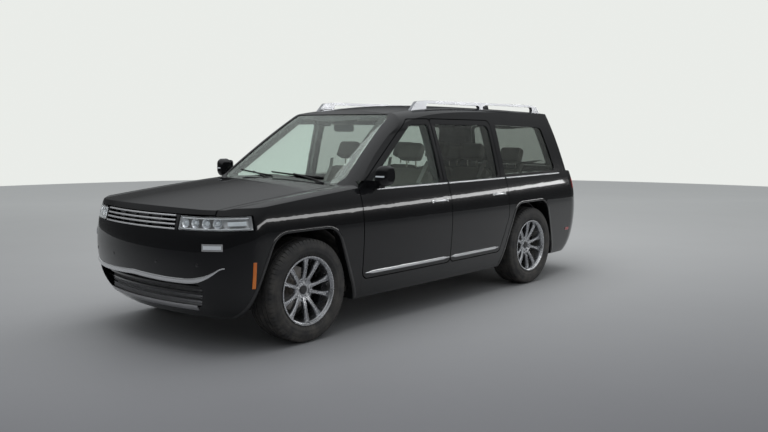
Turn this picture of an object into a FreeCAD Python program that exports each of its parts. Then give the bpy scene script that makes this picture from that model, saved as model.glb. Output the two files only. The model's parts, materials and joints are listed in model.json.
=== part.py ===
"""A five-door, three-row sport utility vehicle, built as the panels and units that it is made of.

Frame: +X towards the nose, +Y towards the driver's left, +Z up, in millimetres. The origin is on the ground,
under the middle of the body's length and width.

The outer form is two lofts of level outlines, one for the lower body and one for the glasshouse. Every panel is
a slice of wall between two insets of those forms, cut where the real panels meet.
"""
import FreeCAD, Part
import Sketcher
import math
import os

V = FreeCAD.Vector
doc = FreeCAD.newDocument("suv")
sheet = doc.addObject("Spreadsheet::Sheet", "Sizes")

SIZES = [  # alias, value in millimetres or degrees or a count, meaning
    ("body_length", 5200, "nose to tail"),
    ("body_width", 1944, "widest part of the body sides"),
    ("roof_height", 1795, "top of the roof panel at its middle"),
    ("wheelbase", 3090, "between the axles"),
    ("front_overhang", 880, "front axle to nose"),
    ("track_width", 1654, "between the wheels' middle planes"),
    ("body_bottom", 235, "underside of sills and bumpers"),
    ("bumper_height", 590, "height where nose and tail reach furthest"),
    ("shoulder_height", 900, "height where the sides are widest"),
    ("belt_height", 1105, "lower edge of the side windows"),
    ("hood_edge_height", 985, "hood height at the nose, beside its crown"),
    ("cowl_height", 1150, "hood height at the windscreen, beside its crown"),
    ("nose_plan_radius", 2200, "bow of the nose seen from above"),
    ("tail_plan_radius", 3600, "bow of the tail seen from above"),
    ("side_plan_radius", 45000, "bow of the sides seen from above"),
    ("screen_plan_radius", 2300, "bow of the windscreen seen from above"),
    ("screen_base_setback", 300, "front axle back to the windscreen at the belt"),
    ("screen_top_setback", 1400, "front axle back to the windscreen's top"),
    ("cabin_base_half", 888, "half width of the glasshouse at the belt"),
    ("cabin_top_half", 650, "half width of the glasshouse at roof height"),
    ("tail_base_setback", 95, "tail in to the rear window at the belt"),
    ("tail_top_setback", 335, "tail in to the rear window at roof height"),
    ("lower_wall", 130, "thickness of the lower body sides"),
    ("upper_wall", 90, "thickness of the pillars"),
    ("fender_wall", 60, "thickness of the front fenders"),
    ("roof_wall", 45, "thickness of the roof panel"),
    ("hood_wall", 38, "thickness of the hood"),
    ("bumper_wall", 90, "thickness of the bumper covers"),
    ("door_skin", 40, "thickness of a door outside its inner plug"),
    ("frame_skin", 30, "thickness of a door's window frame"),
    ("seal_gap", 20, "between a door and the flange behind it"),
    ("shut_gap", 8, "between neighbouring moving panels"),
    ("plug_margin", 42, "a door's inner plug in from its outer edge"),
    ("frame_width", 46, "width of a door's window frame"),
    ("glass_inset", 9, "outer skin in to the face of the glass"),
    ("glass_thickness", 5, "all window glass"),
    ("glass_fit", 0.4, "clearance round a pane"),
    ("door_bottom", 395, "lower edge of the doors"),
    ("front_door_setback", 590, "front axle back to the front door's front edge"),
    ("front_door_length", 1130, "front door along the belt"),
    ("rear_door_length", 930, "rear door along the belt"),
    ("hinge_inset", 13, "hinge line in from the widest skin"),
    ("hinge_setback", 28, "hinge line back from a door's front edge"),
    ("hood_half_width", 735, "middle to the hood's side edge"),
    ("lamp_band_bottom", 880, "lower edge of grille and head lamps"),
    ("lamp_band_top", 984, "upper edge of grille and head lamps"),
    ("tyre_radius", 388, "outside of the tyres"),
    ("tyre_width", 265, "width of the tyres"),
    ("rim_radius", 259, "outside of the wheels' flanges"),
    ("arch_radius", 432, "clear circle round each wheel"),
    ("rim_width", 225, "between the wheels' flanges"),
    ("disc_radius", 165, "brake discs"),
    ("kingpin_lean", 12, "kingpins lean inwards, in degrees"),
    ("kingpin_offset", 99, "lower ball joint in from a wheel's middle plane"),
    ("steering_wheel_diameter", 375, "over the rim"),
    ("seat_height", 330, "top of the front cushions above the floor"),
    ("front_seat_place", 160, "rear lower corner of the front cushions, ahead of the middle"),
    ("second_row_place", -780, "the same of the second row"),
    ("third_row_place", -1620, "the same of the third row"),
    ("headrest_width", 270, "headrests"),
    ("tailgate_bottom", 640, "lower edge of the tailgate"),
    ("plate_recess", 48, "tail in to the face behind the number plate"),
    ("plate_hole_spacing", 178, "between the number plate's screw holes"),
    ("plate_hole_radius", 3.5, "number plate's screw holes"),
    ("plate_hole_height", 820, "number plate's screw holes above the ground"),
    ("grille_half", 470, "middle to the grille's ends"),
    ("grille_slot", 18, "height of a slot in the grille"),
    ("grille_bar", 11, "between the grille's slots"),
    ("hub_radius", 68, "wheels' hubs"),
    ("hub_back", 78.7, "wheel's middle plane in to the hub's back"),
    ("disc_back", 72, "wheel's middle plane in to the brake disc's back"),
    ("disc_thickness", 22, "brake discs"),
    ("bead_depth", 9.4, "wheels' flanges above their bead seats"),
    ("tyre_fit", 0.4, "clearance between tyre and rim"),
    ("barrel_thickness", 17.6, "wheels' rims under the bead seats"),
    ("strut_radius", 42, "front springs round their struts"),
    ("strut_place", 548, "middle to the front struts"),
    ("engine_length", 660, "engine block"),
    ("engine_width", 580, "engine block"),
    ("engine_top", 880, "top of the engine above the ground"),
    ("tank_length", 530, "fuel tank"),
    ("tank_width", 760, "fuel tank"),
    ("tank_bottom", 215, "underside of the fuel tank"),
    ("tank_rounding", 35, "fuel tank's edges"),
    ("muffler_length", 320, "exhaust box"),
    ("muffler_width", 860, "exhaust box"),
    ("muffler_bottom", 250, "underside of the exhaust box"),
    ("column_radius", 34, "steering column"),
    ("floor_bottom", 300, "underside of the floor pan"),
    ("floor_thickness", 45, "floor pan"),
]
for row, (alias, value, meaning) in enumerate(SIZES, 1):
    sheet.set(f"A{row}", alias)
    sheet.set(f"B{row}", str(value))
    sheet.set(f"C{row}", meaning)
    sheet.setAlias(f"B{row}", alias)
doc.recompute()


class Named:
    """The sheet's values by name."""


s = Named()
for alias, value, meaning in SIZES:
    setattr(s, alias, float(sheet.get(alias)))

NOSE = s.body_length / 2
TAIL = -NOSE
FRONT_AXLE = NOSE - s.front_overhang
REAR_AXLE = FRONT_AXLE - s.wheelbase
HALF = s.body_width / 2
FAR = 2 * s.body_length  # longer than anything it cuts


def box(x0, x1, y0, y1, z0, z1):
    return Part.makeBox(x1 - x0, y1 - y0, z1 - z0, V(x0, y0, z0))


def arc(a, b, c):
    return Part.Arc(a, b, c).toShape()


def fillet_circle(c1, r1, c2, r2, rounding, forward):
    """Centre of the circle of that radius inside two others, both touched; forward picks the crossing in front."""
    d = (c2 - c1).Length
    a, b = r1 - rounding, r2 - rounding
    along = (a * a - b * b + d * d) / (2 * d)
    across = math.sqrt(a * a - along * along)
    u = (c2 - c1).normalize()
    w = V(-u.y, u.x, 0)
    found = sorted((c1 + u * along + w * across, c1 + u * along - w * across), key=lambda p: p.x)
    return found[1 if forward else 0]


def flip(p):
    return V(p.x, -p.y, p.z)


def level_outline(z, half, front, rear, front_corner, rear_corner, inset, front_bow, rear_bow, middle):
    """Closed level outline of eight tangent arcs: bowed nose, sides and tail with rounded corners."""
    half, front, rear = half - inset, front - inset, rear + inset
    side_r, front_r, rear_r = s.side_plan_radius - inset, front_bow - inset, rear_bow - inset
    corners = []
    side_c = V(middle, half - side_r, 0)
    for centre, radius, rounding, forward in (
        (V(front - front_r, 0, 0), front_r, front_corner - inset, True),
        (V(rear + rear_r, 0, 0), rear_r, rear_corner - inset, False),
    ):
        c = fillet_circle(centre, radius, side_c, side_r, rounding, forward)
        to_end, to_side = (c - centre).normalize(), (c - side_c).normalize()
        between = (to_end + to_side).normalize()
        corners.append((c + to_end * rounding, c + between * rounding, c + to_side * rounding))
    up = V(0, 0, z)
    (f0, f1, f2), (r0, r1, r2) = corners
    nose, tail = V(front, 0, 0), V(rear, 0, 0)
    side = side_c + ((f2 - side_c) + (r2 - side_c)).normalize() * side_r
    runs = [
        (flip(f0), nose, f0), (f0, f1, f2), (f2, side, r2), (r2, r1, r0),
        (r0, tail, flip(r0)), (flip(r0), flip(r1), flip(r2)), (flip(r2), flip(side), flip(f2)),
        (flip(f2), flip(f1), flip(f0)),
    ]
    return Part.Wire([arc(a + up, b + up, c + up) for a, b, c in runs])


# Lower body, by level: height, sides in from the widest, nose and tail in from the ends, corner radii.
LOWER = [
    (s.body_bottom, 68, 200, 150, 380, 300),
    (s.body_bottom + 175, 21, 50, 36, 400, 320),
    (s.bumper_height, 5, 4, 0, 410, 320),
    (s.shoulder_height, 0, 28, 40, 410, 300),
    (s.shoulder_height + 130, 26, 72, 64, 400, 290),
    (s.shoulder_height + 320, 110, 190, 112, 380, 280),
]
CABIN_BASE = s.belt_height - 45
SCREEN_BASE = FRONT_AXLE - s.screen_base_setback
SCREEN_TOP = FRONT_AXLE - s.screen_top_setback
# Glasshouse, by level: share of its height, sides out from straight, screen and tail out from straight, radii.
UPPER = [
    (0.0, 0, 0, 0, 140, 190),
    (0.35, 12, 22, -18, 136, 180),
    (0.7, 14, 20, -18, 132, 170),
    (1.0, 0, -25, 0, 128, 160),
]


def lower_form(inset):
    wires = [
        level_outline(z, HALF - side, NOSE - front, TAIL + rear, fc, rc, inset,
                      s.nose_plan_radius, s.tail_plan_radius, 0)
        for z, side, front, rear, fc, rc in LOWER
    ]
    return Part.makeLoft(wires, True, False)


def upper_form(inset):
    wires = []
    for share, side, front, rear, fc, rc in UPPER:
        half = s.cabin_base_half + (s.cabin_top_half - s.cabin_base_half) * share + side
        screen = SCREEN_BASE + (SCREEN_TOP - SCREEN_BASE) * share + front
        back = TAIL + s.tail_base_setback + (s.tail_top_setback - s.tail_base_setback) * share + rear
        z = CABIN_BASE + (s.roof_height + 10 - CABIN_BASE) * share
        wires.append(level_outline(z, half, screen, back, fc, rc, inset,
                                   s.screen_plan_radius, s.tail_plan_radius, 250))
    return Part.makeLoft(wires, True, False)


def crown_section(x, edge_half, edge_z, rise, width, drop, base, flare):
    """Closed outline across the vehicle: a crown arc on top, a rounded shoulder each side, then flaring to base."""
    runs = []
    for side in (-1, 1):
        edge = V(x, side * edge_half, edge_z)
        bend = V(x, side * (edge_half + width * 0.71), edge_z - drop * 0.29)
        outer = V(x, side * (edge_half + width), edge_z - drop)
        foot = V(x, outer.y + side * flare, base)
        runs.append((edge, bend, outer, foot))
    (e1, b1, o1, f1), (e2, b2, o2, f2) = runs
    return Part.Wire([
        arc(e1, V(x, 0, edge_z + rise), e2), arc(e2, b2, o2), Part.makeLine(o2, f2),
        Part.makeLine(f2, f1), Part.makeLine(f1, o1), arc(o1, b1, e1),
    ])


def hood_form(drop):
    """Everything under the hood's surface, lowered by drop."""
    rows = [  # place along X, edge height, crown above the edge
        (NOSE + 80, s.hood_edge_height, 28),
        (FRONT_AXLE, s.hood_edge_height + 0.62 * (s.cowl_height - s.hood_edge_height), 44),
        (SCREEN_BASE - 640, s.cowl_height + 8, 50),
    ]
    wires = [crown_section(x, 780, z - drop, rise, 215, 140, 100, 20) for x, z, rise in rows]
    return Part.makeLoft(wires, True, False)


def roof_form(drop):
    """Everything under the roof's surface, lowered by drop."""
    top = s.roof_height
    rows = [  # place along X, centre height below the roof's top
        (SCREEN_TOP + 1150, 430),
        (SCREEN_TOP + 700, 215),
        (SCREEN_TOP + 90, 56),
        (SCREEN_TOP - 300, 14),
        (SCREEN_TOP - 1200, 0),
        (SCREEN_TOP - 2200, 22),
        (TAIL + 60, 66),
    ]
    wires = [crown_section(x, s.cabin_top_half - 110, top - low - 32 - drop, 32, 200, 150, 900, 250)
             for x, low in rows]
    return Part.makeLoft(wires, True, False)


cache = {}


def kept(key, make):
    if key not in cache:
        cache[key] = make()
    return cache[key]


def front_solid(inset, drop):
    """The lower body forward of the windscreen, inset all round and lowered on top."""
    return kept(("front", inset, drop), lambda: lower_form(inset).common(hood_form(drop)))


def cabin_lower(inset):
    """The lower body up to the belt."""
    under_belt = box(-FAR, FAR, -FAR, FAR, 0, s.belt_height)
    return kept(("lower", inset), lambda: lower_form(inset).common(under_belt))


def cabin_upper(inset, drop):
    """The glasshouse, inset at the sides and lowered on top."""
    return kept(("upper", inset, drop), lambda: upper_form(inset).common(roof_form(drop)))


BELT_SKIN = HALF - 102


def rounded(points, radii):
    """Closed wire through flat corner points, each rounded by its radius."""
    count = len(points)
    cuts = []
    for i, (corner, r) in enumerate(zip(points, radii)):
        before, after = points[i - 1], points[(i + 1) % count]
        u, w = (before - corner).normalize(), (after - corner).normalize()
        if r <= 0:
            cuts.append((corner, None, corner))
            continue
        half_angle = u.getAngle(w) / 2
        back = r / math.tan(half_angle)
        centre = corner + (u + w).normalize() * (r / math.sin(half_angle))
        middle = centre + (corner - centre).normalize() * r
        cuts.append((corner + u * back, middle, corner + w * back))
    edges = []
    for i, (start, middle, end) in enumerate(cuts):
        if middle is not None:
            edges.append(arc(start, middle, end))
        following = cuts[(i + 1) % count][0]
        if (following - end).Length > 1e-6:
            edges.append(Part.makeLine(end, following))
    return Part.Wire(edges)


def side_prism(points, radii, y0, y1, slant=0.0):
    """Prism through a side view outline of (x, z) points, from y0 to y1. With a slant, it moves forward by that
    much per unit inboard, and has the stated outline at the belt's skin."""
    shift = slant * (BELT_SKIN - y0)
    wire = rounded([V(x + shift, y0, z) for x, z in points], radii)
    return Part.Face(wire).extrude(V(-slant * (y1 - y0), y1 - y0, 0))


def plan_prism(points, radii, z0, z1):
    """Prism through a plan view outline of (x, y) points."""
    return Part.Face(rounded([V(x, y, z0) for x, y in points], radii)).extrude(V(0, 0, z1 - z0))


def end_prism(points, radii, x0, x1):
    """Prism through a front view outline of (y, z) points."""
    return Part.Face(rounded([V(x0, y, z) for y, z in points], radii)).extrude(V(x1 - x0, 0, 0))


def mirrored(shape):
    return shape.mirror(V(0, 0, 0), V(0, 1, 0))


def both_sides(shape):
    return Part.makeCompound([shape, mirrored(shape)])


def grown(points, by):
    """Outline moved outwards by a distance, or inwards if negative; corners are kept."""
    count = len(points)
    area = sum(points[i][0] * points[(i + 1) % count][1] - points[(i + 1) % count][0] * points[i][1]
               for i in range(count))
    turn = 1 if area > 0 else -1
    out = []
    for i in range(count):
        (ax, az), (bx, bz), (cx, cz) = points[i - 1], points[i], points[(i + 1) % count]
        l1, l2 = math.hypot(bx - ax, bz - az), math.hypot(cx - bx, cz - bz)
        n1 = (turn * (bz - az) / l1, -turn * (bx - ax) / l1)
        n2 = (turn * (cz - bz) / l2, -turn * (cx - bx) / l2)
        k = by / (1 + n1[0] * n2[0] + n1[1] * n2[1])
        out.append((bx + k * (n1[0] + n2[0]), bz + k * (n1[1] + n2[1])))
    return out


parts = {}


def keep(name, shape):
    """Stores a sub-part made with Part's functions as a document object."""
    solids = shape.Solids
    final = solids[0] if len(solids) == 1 else Part.makeCompound(solids)
    item = doc.addObject("Part::Feature", name)
    item.Label = name
    item.Shape = final
    item.Placement = FreeCAD.Placement()
    parts[name] = item
    return item


# Door outlines, seen from the side
FD_FRONT = FRONT_AXLE - s.front_door_setback
FD_REAR = FD_FRONT - s.front_door_length
RD_REAR = FD_REAR - s.rear_door_length
HALF_GAP = s.shut_gap / 2
FRAME_TOP = s.roof_height - 140
SLANT = 0.3


def screen_x(z):
    """Middle of the windscreen's surface at a height, without its bulge."""
    return SCREEN_BASE + (SCREEN_TOP - SCREEN_BASE) * (z - CABIN_BASE) / (s.roof_height + 10 - CABIN_BASE)


PILLAR = 262  # middle of the windscreen back to the front door's window frame
TOP_LEAN = SLANT * 135  # moves the frames' tops back, so that slanted edges look upright from the side
FRONT_DOOR_LOWER = [(FD_REAR + HALF_GAP, s.door_bottom), (FD_FRONT, s.door_bottom),
                    (FD_FRONT, s.belt_height), (FD_REAR + HALF_GAP, s.belt_height)]
FRAME_FOOT = s.belt_height - 60
FRONT_DOOR_UPPER = [(FD_REAR + HALF_GAP, FRAME_FOOT), (screen_x(FRAME_FOOT) - PILLAR, FRAME_FOOT),
                    (screen_x(FRAME_TOP) - PILLAR - 10, FRAME_TOP), (FD_REAR + HALF_GAP - TOP_LEAN, FRAME_TOP + 4)]
REAR_DOOR_LOWER = [(RD_REAR + 135, s.door_bottom), (FD_REAR - HALF_GAP, s.door_bottom),
                   (FD_REAR - HALF_GAP, s.belt_height), (RD_REAR, s.belt_height), (RD_REAR, s.door_bottom + 330)]
REAR_DOOR_UPPER = [(RD_REAR, FRAME_FOOT), (FD_REAR - HALF_GAP, FRAME_FOOT),
                   (FD_REAR - HALF_GAP - TOP_LEAN, FRAME_TOP + 4), (RD_REAR - 30 - TOP_LEAN, FRAME_TOP - 8)]
QUARTER = [(RD_REAR - 1130, s.belt_height + 18), (RD_REAR - 85, s.belt_height + 18),
           (RD_REAR - 110, FRAME_TOP - 50), (RD_REAR - 1020, FRAME_TOP - 80)]

DOORS = [  # name, front edge, lower outline, upper outline, lower radii, upper radii, window radii
    ("front_door", FD_FRONT, FRONT_DOOR_LOWER, FRONT_DOOR_UPPER,
     (50, 60, 0, 0), (0, 0, 60, 30), (25, 18, 45, 25)),
    ("rear_door", FD_REAR - HALF_GAP, REAR_DOOR_LOWER, REAR_DOOR_UPPER,
     (60, 50, 0, 0, 120), (0, 0, 30, 60), (25, 25, 25, 50)),
]
OUT = HALF + 200
PLUG_EDGE = s.plug_margin
APERTURE_EDGE = s.plug_margin - s.shut_gap


def door_window(upper, radii, shrink, y0, y1):
    """Prism of a door's window opening, a frame's width inside the frame's outline, standing on the belt."""
    inner = grown(upper, -s.frame_width - shrink)
    sill = s.belt_height + shrink
    (x0, z0), (x1, z1), (x2, z2), (x3, z3) = inner
    low = [(x0 + (x3 - x0) * (sill - z0) / (z3 - z0), sill), (x1 + (x2 - x1) * (sill - z1) / (z2 - z1), sill),
           (x2, z2), (x3, z3)]
    return side_prism(low, radii, y0, y1, SLANT)


def lower_wall(outer, inner):
    return kept(("lw", outer, inner), lambda: cabin_lower(outer).cut(cabin_lower(inner)))


def upper_wall(outer, inner, drop):
    return kept(("uw", outer, inner, drop),
                lambda: cabin_upper(outer, 0).cut(cabin_upper(inner, drop)).common(
                    box(-FAR, FAR, -FAR, FAR, s.belt_height, FAR)))


def make_door(lower, upper, lower_radii, upper_radii, window_radii):
    slab = lower_wall(0, s.door_skin).common(side_prism(lower, lower_radii, 500, OUT))
    plug_shape = side_prism(plug_outline(lower, PLUG_EDGE), lower_radii, 500, OUT)
    plug = lower_wall(s.door_skin, s.lower_wall).common(plug_shape)
    frame = upper_wall(0, s.frame_skin, s.frame_skin).common(side_prism(upper, upper_radii, 400, OUT, SLANT))
    frame = frame.cut(door_window(upper, window_radii, 0, 400, OUT))
    return slab.fuse([plug, frame]).removeSplitter()


def plug_outline(lower, margin):
    """A door's inner plug: its outline moved in, except at the belt, and further in at the rear edge."""
    inner = grown(lower, -margin)
    swing = 12 if margin == PLUG_EDGE else 0
    middle = sum(x for x, z in inner) / len(inner)
    return [(x + (swing if x < middle else 0), s.belt_height if z > s.belt_height - 80 else z) for x, z in inner]


def door_cavity(lower, upper, lower_radii, upper_radii, window_radii):
    """What a door and its clearances take out of the body side."""
    flange = s.door_skin + s.seal_gap
    grown_lower = [(x, z + (6 if z > s.belt_height - 1 else 0)) for x, z in grown(lower, s.shut_gap)]
    outer = side_prism(grown_lower, lower_radii, 400, OUT).cut(lower_form(flange))
    opening = plug_outline(lower, APERTURE_EDGE)
    through = side_prism([(x, z + (60 if z > s.belt_height - 1 else 0)) for x, z in opening], lower_radii, 400, OUT)
    frame_flange = s.frame_skin + s.seal_gap / 2
    upper_outer = side_prism(grown(upper, s.shut_gap), upper_radii, 400, OUT, SLANT).cut(upper_form(frame_flange))
    window = side_prism(grown(upper, -APERTURE_EDGE), window_radii, 400, OUT, SLANT)
    return [outer, through, upper_outer.common(box(-FAR, FAR, 0, FAR, s.belt_height - 20, FAR)), window]


# Arches and wheelhouses


def arch_outline(x, extra=0.0):
    top = s.tyre_radius + s.arch_radius + 13
    points = [(x - 520, 100), (x - 520, 240), (x - 290, top), (x + 290, top), (x + 520, 240), (x + 520, 100)]
    return grown(points, extra) if extra else points


def arch_prism(x, y0, y1, extra=0.0):
    return side_prism(arch_outline(x, extra), (0, 60, 150, 150, 60, 0), y0, y1)


def wheel_clear(x, y0, y1, radius):
    return Part.makeCylinder(radius, y1 - y0, V(x, y0, s.tyre_radius), V(0, 1, 0))


WHEEL_Y = s.track_width / 2
REAR_CLEAR_Y = WHEEL_Y - s.tyre_width / 2 - 40
FRONT_CLEAR_Y = 495
LINER = 12


def wheelhouse(x, clear_y):
    """Liner over a wheel: a rolled sheet and the wall inboard of it, above the floor."""
    r = s.arch_radius
    rolled = wheel_clear(x, clear_y - LINER, OUT, r + LINER).cut(wheel_clear(x, clear_y, OUT, r))
    return rolled.common(box(-FAR, FAR, 0, FAR, s.floor_bottom, FAR))


# Body side, roof, floor and firewall
BUMPER_X = FRONT_AXLE + 390
REAR_BUMPER_X = REAR_AXLE - 470
LAMP_X = FRONT_AXLE + 470
FLANGE = s.door_skin + s.seal_gap
ROOF_SPLIT = 595
GATE_TOP_FRONT = TAIL + s.tail_top_setback + 75
GATE_HALF, GATE_TOP_HALF = 630, 556
GATE_GAP = 10


def gate_region(extra):
    """What lies inside the tailgate's outline, moved out by extra."""
    low, high = s.tailgate_bottom - extra, s.roof_height - 95
    panel = end_prism([(-GATE_HALF - extra, low), (GATE_HALF + extra, low), (GATE_HALF + extra, s.belt_height),
                       (GATE_TOP_HALF + extra, high), (-GATE_TOP_HALF - extra, high),
                       (-GATE_HALF - extra, s.belt_height)],
                      (60, 60, 0, 0, 0, 0), TAIL - 100, GATE_TOP_FRONT + extra)
    lip = box(TAIL - 100, GATE_TOP_FRONT + extra, -GATE_TOP_HALF - extra, GATE_TOP_HALF + extra, high - 80, FAR)
    return panel.fuse(lip)


def gate_cavity():
    """What the tailgate and its clearances take out of the tail."""
    under = lower_form(FLANGE).common(box(-FAR, FAR, -FAR, FAR, 0, s.belt_height))
    over = upper_form(s.frame_skin + s.seal_gap).common(
        box(-FAR, FAR, -FAR, FAR, s.belt_height, s.roof_height - 150))
    slab = gate_region(GATE_GAP).cut([under, over])
    low, high = s.tailgate_bottom + 35, s.roof_height - 130
    through = end_prism([(-GATE_HALF + 35, low), (GATE_HALF - 35, low), (GATE_HALF - 35, s.belt_height),
                         (GATE_TOP_HALF - 35, high), (-GATE_TOP_HALF + 35, high),
                         (-GATE_HALF + 35, s.belt_height)], (60, 60, 0, 60, 60, 0), TAIL - 100, TAIL + 900)
    return [slab, through]


SCREEN_LOW, SCREEN_HIGH = s.belt_height + 30, s.roof_height - 92
SCREEN_LOW_HALF, SCREEN_HIGH_HALF = 760, 588


def screen_prism(shrink):
    """Windscreen opening, seen from the front, running from the cabin out through the screen."""
    return end_prism(grown([(-SCREEN_LOW_HALF, SCREEN_LOW), (SCREEN_LOW_HALF, SCREEN_LOW),
                            (SCREEN_HIGH_HALF, SCREEN_HIGH), (-SCREEN_HIGH_HALF, SCREEN_HIGH)], -shrink),
                     (60, 60, 55, 55), SCREEN_TOP - 20, NOSE)


LAMP_LOW, LAMP_HIGH = s.shoulder_height + 20, s.belt_height - 70
TAIL_LAMP_HALF = GATE_HALF + GATE_GAP + 6
TAIL_LAMP_X = TAIL + 330


def tail_lamp_region():
    return box(TAIL - 50, TAIL_LAMP_X, TAIL_LAMP_HALF, FAR, LAMP_LOW, LAMP_HIGH)


def make_body_side():
    wall = lower_wall(0, s.lower_wall).common(box(-FAR, FD_FRONT + 60, 300, FAR, s.body_bottom, s.belt_height))
    ahead = box(FD_FRONT + s.shut_gap, FAR, 0, FAR, 0, FAR)
    wall = wall.cut(ahead.cut(front_solid(s.fender_wall, s.hood_wall + s.shut_gap)))
    glasshouse = upper_wall(0, s.upper_wall, s.roof_wall).common(box(-FAR, FAR, ROOF_SPLIT, FAR, 0, FAR))
    tail_post = upper_wall(0, s.upper_wall, s.roof_wall).common(
        box(TAIL - 50, GATE_TOP_FRONT - 160, 300, FAR, 0, s.roof_height - 150))
    side = wall.fuse([glasshouse, tail_post])
    bumper = box(-FAR, REAR_BUMPER_X, 0, FAR, 0, s.tailgate_bottom - 8)
    cutters = [
        arch_prism(REAR_AXLE, 650, OUT), wheel_clear(REAR_AXLE, REAR_CLEAR_Y - LINER, OUT, s.arch_radius + LINER),
        bumper, tail_lamp_region().cut(lower_form(60)),
        side_prism(QUARTER, (40, 30, 30, 60), 400, OUT), screen_prism(0),
        box(TAIL - 50, TAIL + 300, 0, 300, 0, FAR),
    ]
    for name, front, lower, upper, lr, ur, wr in DOORS:
        cutters += door_cavity(lower, upper, lr, ur, wr)
    cutters += gate_cavity()
    side = side.cut(cutters)
    for name, front, lower, upper, lr, ur, wr in DOORS:
        side = side.fuse(door_hinge_arms(front))
    return side


# Hinges
EYE = 5  # radius of a hinge's eye, and half the width of its arm
HINGE_HALF = 16  # half the height of a door hinge
HINGE_FIT = 0.3
DOOR_HINGES = (s.bumper_height + 40, s.shoulder_height)


def hinge_line(front):
    """Place along X and Y of the hinge line of a door whose front edge is there."""
    x = front - s.hinge_setback
    return x, HALF - x * x / (2 * s.side_plan_radius) - s.hinge_inset


def door_hinge_arms(front):
    """Fixed arms that reach from the flange behind a door out to its hinge line."""
    x, y = hinge_line(front)
    arms = []
    for z in DOOR_HINGES:
        reach = box(x - EYE, x + EYE, y - 85, y, z - HINGE_HALF, z + HINGE_HALF)
        arms.append(reach.fuse(Part.makeCylinder(EYE, 2 * HINGE_HALF, V(x, y, z - HINGE_HALF))))
    return arms


def door_hinge_pockets(front):
    """What the arms and their sweep take out of a door, under its outer sheet."""
    x, y = hinge_line(front)
    half = HINGE_HALF + HINGE_FIT
    pockets = [box(x - 2.4 * EYE, front + 60, 700, OUT, z - half, z + half) for z in DOOR_HINGES]
    return [pocket.common(lower_form(3)) for pocket in pockets]


def biggest(shape):
    return max(shape.Solids, key=lambda solid: solid.Volume)


body_side = biggest(make_body_side())
keep("body_side_left", body_side)
keep("body_side_right", mirrored(body_side))

roof = upper_wall(0, s.upper_wall, s.roof_wall).common(
    box(-FAR, FAR, -ROOF_SPLIT, ROOF_SPLIT, s.roof_height - 200, FAR))
roof = roof.cut([screen_prism(0)] + gate_cavity())
GATE_AXIS_X, GATE_AXIS_Z = GATE_TOP_FRONT - 40, s.roof_height - 67
GATE_HINGE_Y, GATE_HINGE_HALF = 300, 14


def gate_hinge_hook():
    """Hook that hangs from the roof's rear edge and rises to the tailgate's hinge line from below."""
    outline = [(GATE_AXIS_X - EYE, GATE_AXIS_Z), (GATE_AXIS_X - EYE, GATE_AXIS_Z - 66),
               (GATE_TOP_FRONT + 60, GATE_AXIS_Z - 66), (GATE_TOP_FRONT + 60, GATE_AXIS_Z - 10),
               (GATE_TOP_FRONT + 30, GATE_AXIS_Z - 10), (GATE_TOP_FRONT + 30, GATE_AXIS_Z - 54),
               (GATE_AXIS_X + EYE, GATE_AXIS_Z - 54), (GATE_AXIS_X + EYE, GATE_AXIS_Z)]
    hook = side_prism(outline, (0,) * 8, GATE_HINGE_Y - GATE_HINGE_HALF, GATE_HINGE_Y + GATE_HINGE_HALF)
    foot = V(GATE_AXIS_X, GATE_HINGE_Y - GATE_HINGE_HALF, GATE_AXIS_Z)
    return hook.fuse(Part.makeCylinder(EYE, 2 * GATE_HINGE_HALF, foot, V(0, 1, 0)))


def swept_round(x, z, reach, half):
    """What a lid that turns about a line along Y sweeps on the far side of that line, with the gap kept round it."""
    return Part.makeCylinder(reach + s.shut_gap, 2 * half, V(x, -half, z), V(0, 1, 0))


hook = gate_hinge_hook()
gate_crown = s.roof_height - 36 - GATE_AXIS_Z
roof = roof.cut(swept_round(GATE_AXIS_X, GATE_AXIS_Z, math.hypot(GATE_TOP_FRONT - GATE_AXIS_X, gate_crown),
                            GATE_TOP_HALF + GATE_GAP))
roof = biggest(roof).fuse([hook, mirrored(hook)])
keep("roof_panel", biggest(roof))

for name, front, lower, upper, lr, ur, wr in DOORS:
    door = biggest(make_door(lower, upper, lr, ur, wr).cut(door_hinge_pockets(front)))
    keep(name + "_left", door)
    keep(name + "_right", mirrored(door))
    pane = upper_wall(s.glass_inset, s.glass_inset + s.glass_thickness, s.glass_inset + s.glass_thickness)
    pane = pane.common(door_window(upper, wr, s.glass_fit, 400, OUT))
    keep(name + "_glass_left", pane)
    keep(name + "_glass_right", mirrored(pane))

# Front: hood, fenders, bumper, lamps, grille
HOOD_GAP = s.shut_gap


def front_wall(inset, drop):
    return kept(("fw", inset, drop), lambda: front_solid(0, 0).cut(front_solid(inset, drop)))


def screen_clear(margin):
    """The glasshouse grown forward by a margin, for what must stay off the windscreen."""
    return upper_form(-margin).common(box(-FAR, FAR, -FAR, FAR, 0, s.belt_height + 250))


HOOD_AXIS_X, HOOD_AXIS_Z = SCREEN_BASE - 135, s.cowl_height - 25
HOOD_REAR = HOOD_AXIS_X - 14
hood_box = box(HOOD_REAR, FAR, -s.hood_half_width, s.hood_half_width, s.lamp_band_top + HOOD_GAP, FAR)
hood = front_wall(s.hood_wall, s.hood_wall).common(hood_box).cut(screen_clear(48))
HOOD_HINGE_Y, HOOD_HINGE_HALF = 650, 14
half = HOOD_HINGE_HALF + HINGE_FIT
hood_pocket = box(0, HOOD_AXIS_X + 2.4 * EYE, HOOD_HINGE_Y - half, HOOD_HINGE_Y + half, 900, FAR)
hood_pocket = hood_pocket.common(hood_form(4))
keep("hood", biggest(hood.cut([hood_pocket, mirrored(hood_pocket)])))

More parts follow.
